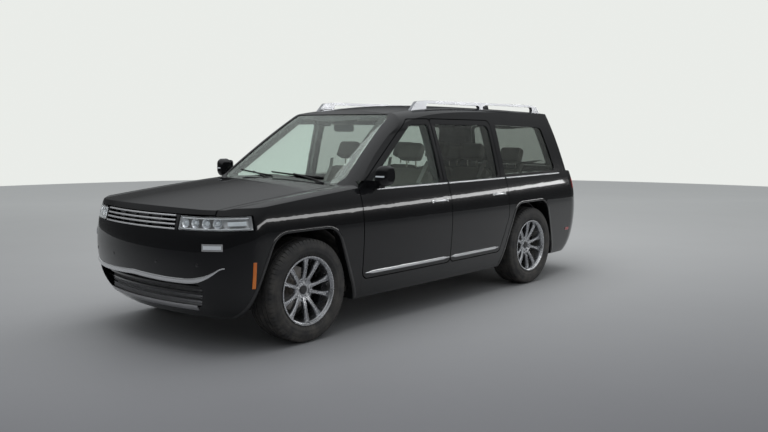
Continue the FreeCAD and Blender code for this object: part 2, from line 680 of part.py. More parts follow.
arch_front = arch_prism(FRONT_AXLE, FRONT_CLEAR_Y, OUT)
fender_top = box(FD_FRONT + s.shut_gap + 1, FAR, s.hood_half_width + HOOD_GAP, FAR, s.lamp_band_top, FAR)
fender_corner = box(FD_FRONT + s.shut_gap + 1, HOOD_REAR - HOOD_GAP, 540, s.hood_half_width + HOOD_GAP + 1, 1000, FAR)
fender_side = box(FD_FRONT + s.shut_gap + 1, BUMPER_X, 600, FAR, s.body_bottom, s.lamp_band_top)
lamp_side = box(LAMP_X, FAR, 0, FAR, s.lamp_band_bottom, s.lamp_band_top)
fender = front_wall(s.fender_wall, s.hood_wall).common(
    fender_top.fuse([fender_corner, fender_side,
                     box(BUMPER_X - 1, LAMP_X, 600, FAR, s.lamp_band_bottom, s.lamp_band_top)]))
hood_sweep = swept_round(HOOD_AXIS_X, HOOD_AXIS_Z, math.hypot(HOOD_AXIS_X - HOOD_REAR, s.cowl_height - 5 - HOOD_AXIS_Z),
                         s.hood_half_width + HOOD_GAP)
fender = fender.cut([arch_front, screen_clear(4), hood_sweep])
keep("fender_left", biggest(fender))
keep("fender_right", mirrored(biggest(fender)))

lamp = front_wall(s.fender_wall, s.hood_wall).common(lamp_side).cut(box(0, FAR, 0, s.grille_half, 0, FAR))
keep("head_lamps", both_sides(biggest(lamp)))
grille = front_wall(s.fender_wall, s.hood_wall).common(
    box(FRONT_AXLE, FAR, -s.grille_half, s.grille_half, s.lamp_band_bottom, s.lamp_band_top))
SLOT_ROWS, SLOT_COLUMNS = 3, 6
row_pitch, column_pitch = s.grille_slot + s.grille_bar, (2 * s.grille_half - 40) / SLOT_COLUMNS
slots = []
for row in range(SLOT_ROWS):
    z = (s.lamp_band_bottom + s.lamp_band_top - SLOT_ROWS * row_pitch + s.grille_bar) / 2 + row * row_pitch
    for column in range(SLOT_COLUMNS):
        y = (column - SLOT_COLUMNS / 2) * column_pitch
        outline = [(y + 5, z), (y + column_pitch - 5, z), (y + column_pitch - 5, z + s.grille_slot),
                   (y + 5, z + s.grille_slot)]
        slots.append(end_prism(outline, (4, 4, 4, 4), NOSE - 300, NOSE + 50))
keep("grille", biggest(grille.cut(slots)))

front_bumper = front_wall(s.bumper_wall, s.hood_wall).common(
    box(BUMPER_X, FAR, -OUT, OUT, s.body_bottom, s.lamp_band_bottom))
INTAKE = [(-600, 330), (600, 330), (700, 520), (-700, 520)]
intake = end_prism(INTAKE, (60, 60, 60, 60), NOSE - 300, NOSE + 50)
bar_span = end_prism(grown(INTAKE, 8), (60, 60, 60, 60), NOSE - 300, NOSE + 50)
bars = []
for z in (375, 422, 469):
    bar = bar_span.common(box(0, FAR, -720, 720, z, z + 14))
    bars.append(bar.common(front_solid(40, s.hood_wall)).cut(front_solid(80, s.hood_wall)))
front_bumper = front_bumper.cut([arch_front, mirrored(arch_front), intake]).fuse(bars)
keep("front_bumper", biggest(front_bumper))

rear_bumper = lower_wall(0, s.lower_wall).common(
    box(TAIL - 50, REAR_BUMPER_X, -OUT, OUT, s.body_bottom, s.tailgate_bottom - 8))
arch_rear = arch_prism(REAR_AXLE, 650, OUT)
rear_clear = wheel_clear(REAR_AXLE, REAR_CLEAR_Y - LINER, OUT, s.arch_radius + LINER)
rear_bumper = rear_bumper.cut([arch_rear, mirrored(arch_rear), rear_clear, mirrored(rear_clear)])
keep("rear_bumper", biggest(rear_bumper))

tail_lamp = lower_wall(0, 60).common(tail_lamp_region())
keep("tail_lamps", both_sides(biggest(tail_lamp)))

# Tailgate
gate_slab = lower_wall(0, s.door_skin).fuse(upper_wall(0, s.frame_skin + 10, s.frame_skin + 10))
gate_slab = gate_slab.common(gate_region(0))
GATE_WINDOW = [(-540, s.belt_height + 40), (540, s.belt_height + 40), (490, s.roof_height - 190),
               (-490, s.roof_height - 190)]
gate_opening = end_prism(GATE_WINDOW, (60, 60, 60, 60), TAIL - 100, TAIL + 900)
PLATE_FACE = TAIL + s.plate_recess
plate_recess = end_prism([(-280, 690), (280, 690), (265, 855), (-265, 855)], (20, 20, 30, 30), TAIL - 50, PLATE_FACE)
plate_holes = [Part.makeCylinder(s.plate_hole_radius, 60,
                                 V(TAIL, side * s.plate_hole_spacing / 2, s.plate_hole_height), V(1, 0, 0))
               for side in (-1, 1)]
half = GATE_HINGE_HALF + HINGE_FIT
gate_pocket = box(GATE_AXIS_X - 2.4 * EYE, FAR, GATE_HINGE_Y - half, GATE_HINGE_Y + half, s.roof_height - 200, FAR)
gate_pocket = gate_pocket.common(roof_form(4))
gate_slab = gate_slab.cut([gate_opening, plate_recess, gate_pocket, mirrored(gate_pocket)] + plate_holes)
keep("tailgate", biggest(gate_slab))
gate_pane = upper_wall(s.glass_inset, s.glass_inset + s.glass_thickness, s.glass_inset + s.glass_thickness)
gate_pane = gate_pane.common(end_prism(grown(GATE_WINDOW, -s.glass_fit), (60, 60, 60, 60), TAIL - 100, TAIL + 900))
keep("tailgate_glass", biggest(gate_pane))

# Fixed glass
pane_wall = upper_wall(s.glass_inset, s.glass_inset + s.glass_thickness, s.glass_inset + s.glass_thickness)
keep("windscreen", biggest(pane_wall.common(screen_prism(s.glass_fit))))
quarter = pane_wall.common(side_prism(grown(QUARTER, -s.glass_fit), (40, 30, 30, 60), 400, OUT))
keep("quarter_glass", both_sides(biggest(quarter)))

# Floor, firewall and cowl
inside_lower = kept("inside", lambda: lower_form(s.lower_wall))
floor_top = s.floor_bottom + s.floor_thickness
FIREWALL_X = SCREEN_BASE - 220
COWL_LOW = s.belt_height - 45
floor_plate = inside_lower.common(box(-FAR, FIREWALL_X, -FAR, FAR, s.floor_bottom, floor_top))
houses = [inside_lower.common(wheelhouse(REAR_AXLE, REAR_CLEAR_Y))]
houses.append(mirrored(houses[0]))
clear = wheel_clear(REAR_AXLE, REAR_CLEAR_Y, OUT, s.arch_radius)
floor = floor_plate.fuse(houses).cut([clear, mirrored(clear)])
keep("floor_pan", biggest(floor))

firewall = inside_lower.common(box(FIREWALL_X, FIREWALL_X + 30, -FAR, FAR, s.floor_bottom, COWL_LOW))
shelf = inside_lower.common(box(FIREWALL_X, SCREEN_BASE + 20, -FAR, FAR, COWL_LOW - 22, COWL_LOW))
firewall = firewall.fuse(shelf)
post = box(HOOD_AXIS_X - EYE, HOOD_AXIS_X + EYE, HOOD_HINGE_Y - HOOD_HINGE_HALF, HOOD_HINGE_Y + HOOD_HINGE_HALF,
           COWL_LOW - 5, HOOD_AXIS_Z)
eye_foot = V(HOOD_AXIS_X, HOOD_HINGE_Y - HOOD_HINGE_HALF, HOOD_AXIS_Z)
post = post.fuse(Part.makeCylinder(EYE, 2 * HOOD_HINGE_HALF, eye_foot, V(0, 1, 0)))
firewall = biggest(firewall).fuse([post, mirrored(post)])
keep("firewall", biggest(firewall))
cowl = upper_form(-18).cut(upper_form(60)).common(box(FD_FRONT - 40, FAR, -FAR, FAR, COWL_LOW, SCREEN_LOW))
cowl = cowl.common(front_solid(s.fender_wall, s.hood_wall + 14)).common(box(0, FAR, -590, 590, 0, FAR))
keep("cowl", biggest(cowl))

# Wheels and tyres, each from one section, with the axle along Y through the section's own origin


def origin_plane(body, role):
    return next(item for item in body.Origin.OriginFeatures if item.Role == role)


def outline_sketch(body, name, plane, corners):
    """Closed straight outline in a body's sketch; each corner is a pair of expressions over the sheet."""
    sketch = body.newObject("Sketcher::SketchObject", name)
    sketch.AttachmentSupport = (origin_plane(body, plane), "")
    sketch.MapMode = "FlatFace"
    places = [[float(sheet.evalExpression(text)) for text in corner] for corner in corners]
    count = len(corners)
    sketch.addGeometry([Part.LineSegment(V(*places[i], 0), V(*places[(i + 1) % count], 0)) for i in range(count)])
    for i in range(count):
        sketch.addConstraint(Sketcher.Constraint("Coincident", i, 2, (i + 1) % count, 1))
        for axis, kind in enumerate(("DistanceX", "DistanceY")):
            if abs(places[i][axis]) < 1e-9:
                sketch.addConstraint(Sketcher.Constraint("PointOnObject", i, 1, -2 if axis == 0 else -1))
                continue
            index = sketch.addConstraint(Sketcher.Constraint(kind, -1, 1, i, 1, places[i][axis]))
            sketch.setExpression(f"Constraints[{index}]", corners[i][axis])
    return sketch


def turned_body(name, section):
    """A body turned about Y from a section of (across the wheel, radius) expressions."""
    body = doc.addObject("PartDesign::Body", name)
    sketch = outline_sketch(body, name + "_section", "YZ_Plane", section)
    doc.recompute()
    turned = body.newObject("PartDesign::Revolution", name + "_turned")
    turned.Profile = sketch
    turned.ReferenceAxis = (sketch, ["H_Axis"])
    turned.Angle = 360
    doc.recompute()
    return body, sketch


TREAD, RIM = "Sizes.tyre_radius", "Sizes.rim_radius"
HALF_TYRE, HALF_RIM = "Sizes.tyre_width / 2", "Sizes.rim_width / 2"
BEAD_HALF, BEAD_SEAT = HALF_RIM + " - Sizes.tyre_fit", RIM + " - Sizes.bead_depth + Sizes.tyre_fit"
half_section = [  # outwards from the middle plane, radius
    (BEAD_HALF, BEAD_SEAT), (BEAD_HALF, RIM + " + 1"), (HALF_TYRE + " - 3", RIM + " + 30"),
    (HALF_TYRE, f"({RIM} + {TREAD}) / 2"), (HALF_TYRE + " - 8", TREAD + " - 24"), (HALF_TYRE + " - 34", TREAD),
]
tyre_section = half_section + [(f"-({across})", radius) for across, radius in reversed(half_section)]
TYRE_SIDES = 60  # flat sides round a tyre, which leave it half a millimetre out of round


def sided_ring(section, sides):
    """A ring about Y with flat sides: its section's corners stand on rings of points, with a face between each two
    neighbours. The lowest point of each ring is straight below the axle."""
    rings = []
    for across, radius in section:
        y, r = float(sheet.evalExpression(across)), float(sheet.evalExpression(radius))
        turns = [2 * math.pi * i / sides - math.pi / 2 for i in range(sides)]
        rings.append([V(r * math.cos(turn), y, r * math.sin(turn)) for turn in turns])
    faces = []
    for near, far in zip(rings, rings[1:] + rings[:1]):
        for i in range(sides):
            j = (i + 1) % sides
            faces.append(Part.Face(Part.makePolygon([near[i], near[j], far[j], far[i], near[i]])))
    shell = Part.Shell(faces)
    shell.sewShape()
    solid = Part.Solid(shell)
    return solid if solid.Volume > 0 else solid.reversed()


tyre_shape = sided_ring(tyre_section, TYRE_SIDES)

BARREL = f"{RIM} - Sizes.bead_depth - Sizes.barrel_thickness"
DISC_FRONT = "Sizes.disc_thickness - Sizes.disc_back"
wheel_section = [  # outwards from the middle plane, radius: hub and brake disc, spoked face, rim
    ("-Sizes.hub_back", "0"), ("-Sizes.hub_back", "Sizes.hub_radius - 10"),
    ("-Sizes.disc_back", "Sizes.hub_radius - 10"), ("-Sizes.disc_back", "Sizes.disc_radius"),
    (DISC_FRONT, "Sizes.disc_radius"), (DISC_FRONT, "Sizes.hub_radius"), ("16", "Sizes.hub_radius"),
    ("38", "Sizes.hub_radius + 22"), ("54", BARREL), (f"30 - {HALF_RIM}", BARREL),
    (f"-9 - {HALF_RIM}", RIM + " - 22"), (f"-9 - {HALF_RIM}", RIM), (f"-{HALF_RIM}", RIM),
    (f"-{HALF_RIM}", RIM + " - Sizes.bead_depth"), (HALF_RIM, RIM + " - Sizes.bead_depth"), (HALF_RIM, RIM),
    (HALF_RIM + " + 9", RIM), (HALF_RIM + " + 9", RIM + " - 14"), (HALF_RIM + " - 12", RIM + " - 24"),
    ("86", RIM + " - 26"), ("58", "Sizes.hub_radius + 22"), ("62", "Sizes.hub_radius - 6"), ("62", "0"),
]
wheel_body, wheel_sketch = turned_body("wheel", wheel_section)


def spoke_windows(name, angle, wide, narrow, outer_rounding, inner_rounding):
    """One rounded window between spokes, cut through the face and repeated round the hub."""
    sketch = wheel_body.newObject("Sketcher::SketchObject", name)
    sketch.AttachmentSupport = (origin_plane(wheel_body, "XZ_Plane"), "")
    sketch.MapMode = "FlatFace"
    corners = []
    for radius, spread in ((s.rim_radius - 34, -wide), (s.rim_radius - 34, wide),
                           (s.hub_radius + 16, narrow), (s.hub_radius + 16, -narrow)):
        at = math.radians(angle + spread)
        corners.append(V(radius * math.sin(at), radius * math.cos(at), 0))
    wire = rounded(corners, (outer_rounding, outer_rounding, inner_rounding, inner_rounding))
    for edge in wire.Edges:
        start, middle, end = (edge.valueAt(edge.FirstParameter + share * (edge.LastParameter - edge.FirstParameter))
                              for share in (0, 0.5, 1))
        straight = isinstance(edge.Curve, Part.Line)
        sketch.addGeometry(Part.LineSegment(start, end) if straight else Part.Arc(start, middle, end))
    doc.recompute()
    before = wheel_body.Shape.Volume
    pocket = wheel_body.newObject("PartDesign::Pocket", name + "_cut")
    pocket.Profile = sketch
    pocket.setExpression("Length", HALF_RIM + " + 20")
    doc.recompute()
    if pocket.Shape.Volume > before - 1000:
        raise ValueError(name + " cuts nothing")
    pattern = wheel_body.newObject("PartDesign::PolarPattern", name + "_round")
    pattern.Originals = [pocket]
    pattern.Axis = (wheel_sketch, ["H_Axis"])
    pattern.Angle = 360
    pattern.Occurrences = SPOKE_PAIRS
    wheel_body.Tip = pattern
    doc.recompute()


SPOKE_PAIRS = 5
spoke_windows("window_between_pairs", 18, 15, 9, 14, 5)
spoke_windows("window_in_a_pair", 54, 9.5, 4, 12, 3)


def set_on_axle(name, shape, axle, side):
    """A node with a shape on one end of an axle, its outer face outwards."""
    item = doc.addObject("Part::Feature", name)
    item.Label = name
    item.Shape = shape if side > 0 else mirrored(shape)
    item.Placement = FreeCAD.Placement(V(axle, side * WHEEL_Y, s.tyre_radius), FreeCAD.Rotation())
    parts[name] = item


for end, axle in (("front", FRONT_AXLE), ("rear", REAR_AXLE)):
    for side_name, side in (("left", 1), ("right", -1)):
        set_on_axle(f"{end}_tyre_{side_name}", tyre_shape, axle, side)
        set_on_axle(f"{end}_wheel_{side_name}", wheel_body.Shape, axle, side)

# Steering knuckles and suspension
HUB_BACK = WHEEL_Y - s.hub_back - 0.3
KINGPIN_Y = WHEEL_Y - s.kingpin_offset
KINGPIN_Z = s.tyre_radius - 153
LEAN = math.radians(s.kingpin_lean)
KINGPIN = V(0, -math.sin(LEAN), math.cos(LEAN))
AXLE_Z = s.tyre_radius


def x_prism(points, x0, x1):
    return Part.Face(Part.makePolygon([V(x0, y, z) for y, z in points + points[:1]])).extrude(V(x1 - x0, 0, 0))


def upright(x, reach):
    """Hub carrier in the plane inboard of the brake disc, with its upper arm leaning in by a reach."""
    back = HUB_BACK
    plate = x_prism([(back - 32, KINGPIN_Z + 30), (back, KINGPIN_Z + 30), (back, AXLE_Z + 82),
                     (back - reach + 52, AXLE_Z + 172), (back - reach, AXLE_Z + 172), (back - reach, AXLE_Z + 140),
                     (back - 50, AXLE_Z + 60)], x - 34, x + 34)
    boss = Part.makeCylinder(58, 40, V(x, back - 40, AXLE_Z), V(0, 1, 0))
    nose = Part.makeCylinder(34, 24, V(x, back - 62, AXLE_Z), V(0, 1, 0))
    return plate.fuse([boss, nose])


def ball_joint(x, start, length, radius):
    base = V(x, KINGPIN_Y, KINGPIN_Z) + KINGPIN * start
    return Part.makeCylinder(radius, length, base, KINGPIN)


def lower_arm(x, inner_y):
    """Wishbone from two bushes on the subframe out to the lower ball joint."""
    outline = [(x - 190, inner_y), (x - 120, inner_y), (x - 24, KINGPIN_Y - 70), (x + 24, KINGPIN_Y - 70),
               (x + 120, inner_y), (x + 190, inner_y), (x + 30, KINGPIN_Y + 12), (x - 30, KINGPIN_Y + 12)]
    return plan_prism(outline, (0, 0, 20, 20, 0, 0, 20, 20), KINGPIN_Z - 34, KINGPIN_Z - 6)


SUBFRAME_Y = 430
knuckle = upright(FRONT_AXLE, 100).fuse(ball_joint(FRONT_AXLE, 0.6, 45, 19))
keep("front_knuckle_left", knuckle)
keep("front_knuckle_right", mirrored(knuckle))

front_arm = lower_arm(FRONT_AXLE, SUBFRAME_Y).fuse(ball_joint(FRONT_AXLE, -20, 20, 21))
frame_z = KINGPIN_Z - 40
cross = box(FRONT_AXLE - 210, FRONT_AXLE + 210, -SUBFRAME_Y, SUBFRAME_Y, frame_z, frame_z + 60)
cross = cross.cut(box(FRONT_AXLE - 110, FRONT_AXLE + 110, -300, 300, 0, FAR))
front_subframe = cross.fuse([front_arm, mirrored(front_arm)])
keep("front_subframe", front_subframe)

# Front structure
APRON_Y = 478
UPPER_RAIL_LOW, UPPER_RAIL_HIGH = 868, 900
under_hood = kept("under_hood", lambda: front_solid(s.bumper_wall, s.hood_wall + 12))
SUPPORT_X = NOSE - 330
rail = box(FIREWALL_X + 30, SUPPORT_X + 60, APRON_Y - 90, APRON_Y, frame_z + 60, 420).common(under_hood)
apron = box(FIREWALL_X + 30, SUPPORT_X, APRON_Y, FRONT_CLEAR_Y, frame_z + 60, FAR).common(under_hood)
upper_rail = box(FIREWALL_X + 30, SUPPORT_X, FRONT_CLEAR_Y - 1, 620, UPPER_RAIL_LOW, UPPER_RAIL_HIGH)
side_frame = rail.fuse([apron, upper_rail.common(under_hood)])
radiator = box(SUPPORT_X, SUPPORT_X + 55, -APRON_Y - 120, APRON_Y + 120, 330, 860).common(under_hood)
beam = box(SUPPORT_X + 60, NOSE, -560, 560, 540, 640).common(front_solid(s.bumper_wall, 60)).cut(
    front_solid(s.bumper_wall + 60, 60))
ties = [box(SUPPORT_X + 50, NOSE - 120, side * 430 - 45, side * 430 + 45, 545, 635) for side in (-1, 1)]
ties = [tie.common(front_solid(s.bumper_wall, 60)) for tie in ties]
front_frame = side_frame.fuse([mirrored(side_frame), radiator, beam] + ties)
keep("front_frame", biggest(front_frame.cut([cowl, firewall])))

strut_tower = Part.makeCylinder(s.strut_radius + 4, 900, V(FRONT_AXLE, s.strut_place, 0))
liner_r = s.arch_radius + 43
liner = wheel_clear(FRONT_AXLE, FRONT_CLEAR_Y, OUT, liner_r + 10).cut(wheel_clear(FRONT_AXLE, 0, OUT, liner_r))
liner = liner.common(box(FIREWALL_X + 40, FAR, 0, FAR, s.floor_bottom, UPPER_RAIL_LOW - 1)).common(
    front_solid(s.fender_wall, s.hood_wall + 12)).cut([front_bumper, front_frame, strut_tower])
liner = liner.common(box(0, BUMPER_X, 0, FAR, 0, FAR).fuse(under_hood))
keep("front_liners", both_sides(biggest(liner)))


def primitive(kind, name, sizes, place=None):
    """A Part primitive whose sizes, and place along the axes, are expressions over the sheet."""
    item = doc.addObject("Part::" + kind, name)
    for key, text in sizes.items():
        item.setExpression(key, text)
    for key, text in zip(("x", "y", "z"), place or ()):
        item.setExpression("Placement.Base." + key, text)
    return item


def finished(name, item):
    """Gives an object the label of its node and lists it among the sub-parts."""
    item.Label = name
    parts[name] = item


FRONT_AXLE_TEXT = "Sizes.body_length / 2 - Sizes.front_overhang"
REAR_AXLE_TEXT = FRONT_AXLE_TEXT + " - Sizes.wheelbase"
strut_foot = KINGPIN_Z - 6
struts = []
for side_name, sign in (("left", ""), ("right", "-")):
    struts.append(primitive("Cylinder", "strut_" + side_name,
                            {"Radius": "Sizes.strut_radius", "Height": f"{UPPER_RAIL_LOW - strut_foot}"},
                            (FRONT_AXLE_TEXT, sign + "Sizes.strut_place", f"{strut_foot}")))
strut_pair = doc.addObject("Part::Compound", "front_struts")
strut_pair.Links = struts
finished("front_struts", strut_pair)

engine = primitive("Box", "engine", {"Length": "Sizes.engine_length", "Width": "Sizes.engine_width",
                                     "Height": f"Sizes.engine_top - {frame_z + 60}"},
                   (FRONT_AXLE_TEXT + " - Sizes.engine_length / 2", "-Sizes.engine_width / 2", f"{frame_z + 60}"))
finished("engine", engine)

# Rear axle
rear_upright = upright(REAR_AXLE, 84)
rear_arm_z = KINGPIN_Z + 40
rear_cross = box(REAR_AXLE - 160, REAR_AXLE + 160, -SUBFRAME_Y, SUBFRAME_Y, rear_arm_z - 60, s.floor_bottom).cut(
    box(REAR_AXLE - 90, REAR_AXLE + 90, -260, 260, 0, FAR))
rear_arm = plan_prism([(REAR_AXLE - 150, SUBFRAME_Y - 10), (REAR_AXLE + 150, SUBFRAME_Y - 10),
                       (REAR_AXLE + 34, HUB_BACK - 5), (REAR_AXLE - 34, HUB_BACK - 5)], (0, 0, 15, 15),
                      rear_arm_z - 45, rear_arm_z - 8)
rear_subframe = rear_cross.fuse([rear_arm, mirrored(rear_arm), rear_upright, mirrored(rear_upright)])
keep("rear_subframe", biggest(rear_subframe))

# Underneath: fuel tank and exhaust box


def pressed_box(name, low, high, place, height, rounding):
    """A body padded up from a rectangle of its own plane, with its edges rounded, then moved to its place."""
    body = doc.addObject("PartDesign::Body", name)
    (x0, y0), (x1, y1) = low, high
    sketch = outline_sketch(body, name + "_outline", "XY_Plane", [(x0, y0), (x1, y0), (x1, y1), (x0, y1)])
    pad = body.newObject("PartDesign::Pad", name + "_pad")
    pad.Profile = sketch
    pad.setExpression("Length", height)
    doc.recompute()
    upright_edges = [f"Edge{i}" for i, edge in enumerate(pad.Shape.Edges, 1)
                     if abs(edge.tangentAt(edge.FirstParameter).z) > 0.99]
    rounds = body.newObject("PartDesign::Fillet", name + "_rounding")
    rounds.Base = (pad, upright_edges)
    rounds.setExpression("Radius", rounding)
    for key, text in zip(("x", "y", "z"), place):
        body.setExpression("Placement.Base." + key, text)
    doc.recompute()
    finished(name, body)


pressed_box("fuel_tank", ("-Sizes.tank_length / 2", "-Sizes.tank_width / 2"),
            ("Sizes.tank_length / 2", "Sizes.tank_width / 2"),
            (REAR_AXLE_TEXT + " + 595", "0", "Sizes.tank_bottom"),
            "Sizes.floor_bottom - Sizes.tank_bottom", "Sizes.tank_rounding")
pressed_box("exhaust", ("-Sizes.muffler_length / 2", "-Sizes.muffler_width / 2"),
            ("Sizes.muffler_length / 2", "Sizes.muffler_width / 2"),
            (REAR_AXLE_TEXT + " - 720", "0", "Sizes.muffler_bottom"),
            "Sizes.floor_bottom - Sizes.muffler_bottom", "Sizes.tank_rounding")

# Cabin
DASH_FRONT = FIREWALL_X
dash = side_prism([(DASH_FRONT, 700), (DASH_FRONT, COWL_LOW - 22), (DASH_FRONT - 260, COWL_LOW - 22),
                   (DASH_FRONT - 430, COWL_LOW - 60), (DASH_FRONT - 400, 820), (DASH_FRONT - 260, 700)],
                  (0, 0, 60, 50, 60, 60), -700, 700)
keep("dashboard", dash.common(cabin_lower(s.lower_wall)))

WHEEL_X, WHEEL_SIDE, WHEEL_HEIGHT = DASH_FRONT - 560, 385, 985
TILT = math.radians(24)
COLUMN = V(math.cos(TILT), 0, -math.sin(TILT))
ring_r = s.steering_wheel_diameter / 2 - 15
centre = V(WHEEL_X, WHEEL_SIDE, WHEEL_HEIGHT)
ring = Part.makeTorus(ring_r, 15, centre, COLUMN)
hub = Part.makeCylinder(62, 46, centre - COLUMN * 6, COLUMN)
bars = []
for angle in (0, 180, 270):
    a = math.radians(angle)
    out = V(0, math.cos(a), 0) + V(math.sin(TILT), 0, math.cos(TILT)) * math.sin(a)
    bars.append(Part.makeCylinder(12, ring_r - 40, centre + COLUMN * 12 + out * 42, out))
steering_wheel = ring.fuse([hub] + bars)
keep("steering_wheel", steering_wheel)
column = Part.makeCylinder(s.column_radius, 160, centre + COLUMN * 40.3, COLUMN)
keep("steering_column", column.cut(parts["dashboard"].Shape))


def headrest(x, y, z):
    """Rounded block on two posts that stand in a backrest whose top is at that place."""
    w, rise = s.headrest_width / 2, 175
    block = side_prism([(x - 62, z + 34), (x + 32, z + 34), (x + 14, z + 34 + rise), (x - 66, z + 34 + rise)],
                       (30, 30, 36, 30), y - w, y + w)
    block = block.common(end_prism([(y - w, z), (y + w, z), (y + w, z + 40 + rise), (y - w, z + 40 + rise)],
                                   (40, 40, 55, 55), x - 200, x + 200))
    posts = [Part.makeCylinder(7, 120, V(x - 20, y + across, z - 60)) for across in (-62, 62)]
    return block.fuse(posts)


def seat(x, y, width, back_height, lean, rests):
    """Cushion and backrest in one outline seen from the side, rounded from the front too, with headrests."""
    base = floor_top
    top, high = base + s.seat_height, base + s.seat_height + back_height
    outline = [(x + 500, base), (x + 520, top - 20), (x + 60, top - 40), (x - lean, high),
               (x - lean - 110, high - 10), (x - 90, top - 120), (x - 60, base)]
    whole = side_prism(outline, (60, 70, 60, 50, 50, 60, 30), y - width / 2, y + width / 2)
    left, right = y - width / 2, y + width / 2
    whole = whole.common(end_prism([(left, base), (right, base), (right, high + 5), (left, high + 5)],
                                   (20, 20, 90, 90), x - 600, x + 700))
    whole = whole.common(plan_prism([(x - 500, left), (x + 525, left), (x + 525, right), (x - 500, right)],
                                    (20, 80, 80, 20), base - 1, high + 10))
    return whole.fuse([headrest(x - lean - 45, y + place, high) for place in rests])


front_seat = seat(s.front_seat_place, 400, 520, 560, 230, (0,))
keep("front_seats", both_sides(front_seat))
keep("second_row", seat(s.second_row_place, 0, 1340, 540, 200, (-430, 0, 430)))
keep("third_row", seat(s.third_row_place, 0, 1180, 480, 170, (-370, 0, 370)))
console = side_prism([(700, floor_top), (760, 700), (640, 720), (120, 640), (60, floor_top)],
                     (0, 60, 40, 50, 0), -115, 115)
keep("console", console)

# Mirrors and roof rails
mirror_x = FD_FRONT - 175
MIRROR = [  # outwards from the widest skin, middle along X, middle height, length, height, corner radius
    (2, 14, 96, 110, 110, 34),
    (34, 10, 100, 140, 158, 46),
    (80, 0, 104, 132, 152, 46),
    (105, -10, 108, 92, 108, 38),
]
sections = []
for out, along, up, length, height, radius in MIRROR:
    x, z = mirror_x + along, s.belt_height + up
    corners = [V(x - length / 2, HALF + out, z - height / 2), V(x + length / 2, HALF + out, z - height / 2),
               V(x + length / 2, HALF + out, z + height / 2), V(x - length / 2, HALF + out, z + height / 2)]
    sections.append(rounded(corners, (radius,) * 4))
mirror = Part.makeLoft(sections, True, False)
foot = box(mirror_x - 30, mirror_x + 40, HALF - 125, HALF + 20, s.belt_height, s.belt_height + 62)
mirror = mirror.fuse(foot.cut(upper_form(0)))
keep("mirror_left", biggest(mirror))
keep("mirror_right", mirrored(biggest(mirror)))

rail_y = ROOF_SPLIT - 5
rail_top = s.roof_height + 34
rail = side_prism([(-2050, rail_top - 105), (-1980, rail_top - 30), (-1800, rail_top - 12), (-100, rail_top),
                   (60, rail_top - 12), (150, rail_top - 100)], (0, 30, 60, 60, 40, 0), rail_y - 17, rail_y + 17)
RAIL_FEET = [-1900, -980, -920, -80]  # rear opening's ends, then the front opening's
openings = []
for start, end in (RAIL_FEET[:2], RAIL_FEET[2:]):
    openings.append(side_prism([(start, 1500), (start, rail_top - 36), (end, rail_top - 24), (end, 1500)],
                               (0, 30, 30, 0), rail_y - 30, rail_y + 30))
rail = rail.cut(openings + [cabin_upper(0, 0)])
keep("roof_rails", both_sides(biggest(rail)))

doc.recompute()
for item in doc.Objects:
    if "Invalid" in item.State or "Error" in item.State:
        raise ValueError(item.Name + " is in state " + str(item.State))
for name, item in parts.items():
    if item.Shape.isNull() or not item.Shape.isValid():
        raise ValueError(name + " is not a valid shape")

os.makedirs("parts", exist_ok=True)
for name, item in parts.items():
    item.Shape.exportStep("parts/" + name + ".step")
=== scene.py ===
"""Looks of a three-row sport utility vehicle: paint, glass, lamps, wheels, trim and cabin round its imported
frame.

Lengths are in metres, in the frame's own axes: +X to the nose, +Y to the vehicle's left, +Z up.
"""

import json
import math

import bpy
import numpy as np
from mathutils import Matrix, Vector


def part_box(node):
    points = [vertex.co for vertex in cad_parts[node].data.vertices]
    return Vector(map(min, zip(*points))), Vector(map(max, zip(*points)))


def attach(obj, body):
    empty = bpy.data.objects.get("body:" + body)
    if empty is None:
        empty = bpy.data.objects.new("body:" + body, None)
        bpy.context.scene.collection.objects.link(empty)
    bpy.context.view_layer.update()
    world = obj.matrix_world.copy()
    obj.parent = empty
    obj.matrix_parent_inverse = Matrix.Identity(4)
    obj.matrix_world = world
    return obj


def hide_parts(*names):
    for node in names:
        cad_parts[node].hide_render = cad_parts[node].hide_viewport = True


bl_info = {
    "name": "Utility vehicle looks",
    "version": (1, 0, 0),
    "blender": (4, 5, 0),
    "location": "3D View > Sidebar > Vehicle",
    "description": "Finishes, trim, wheels, lamps and a cabin round the packed frame of a vehicle",
    "category": "Object",
}

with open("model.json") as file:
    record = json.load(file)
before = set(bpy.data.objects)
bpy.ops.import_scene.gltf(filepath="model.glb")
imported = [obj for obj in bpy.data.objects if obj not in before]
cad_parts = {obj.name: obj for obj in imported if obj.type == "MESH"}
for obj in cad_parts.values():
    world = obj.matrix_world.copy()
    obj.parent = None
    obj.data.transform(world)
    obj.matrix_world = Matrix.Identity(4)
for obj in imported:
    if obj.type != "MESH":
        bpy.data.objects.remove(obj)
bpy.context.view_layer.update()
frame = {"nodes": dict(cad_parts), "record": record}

NODES = frame["nodes"]
SIDES = (("left", 1), ("right", -1))
ENDS = ("front", "rear")


def node_box(name):
    """Lowest and highest corner of a node, as two arrays."""
    low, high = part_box(name)
    return np.array(low), np.array(high)


def tyre_place(end, side):
    """Middle of a tyre, its radius and its width."""
    low, high = node_box(f"{end}_tyre_{side}")
    return (low + high) / 2, (high[2] - low[2]) / 2, high[1] - low[1]


# Shapes: points, quads and other faces


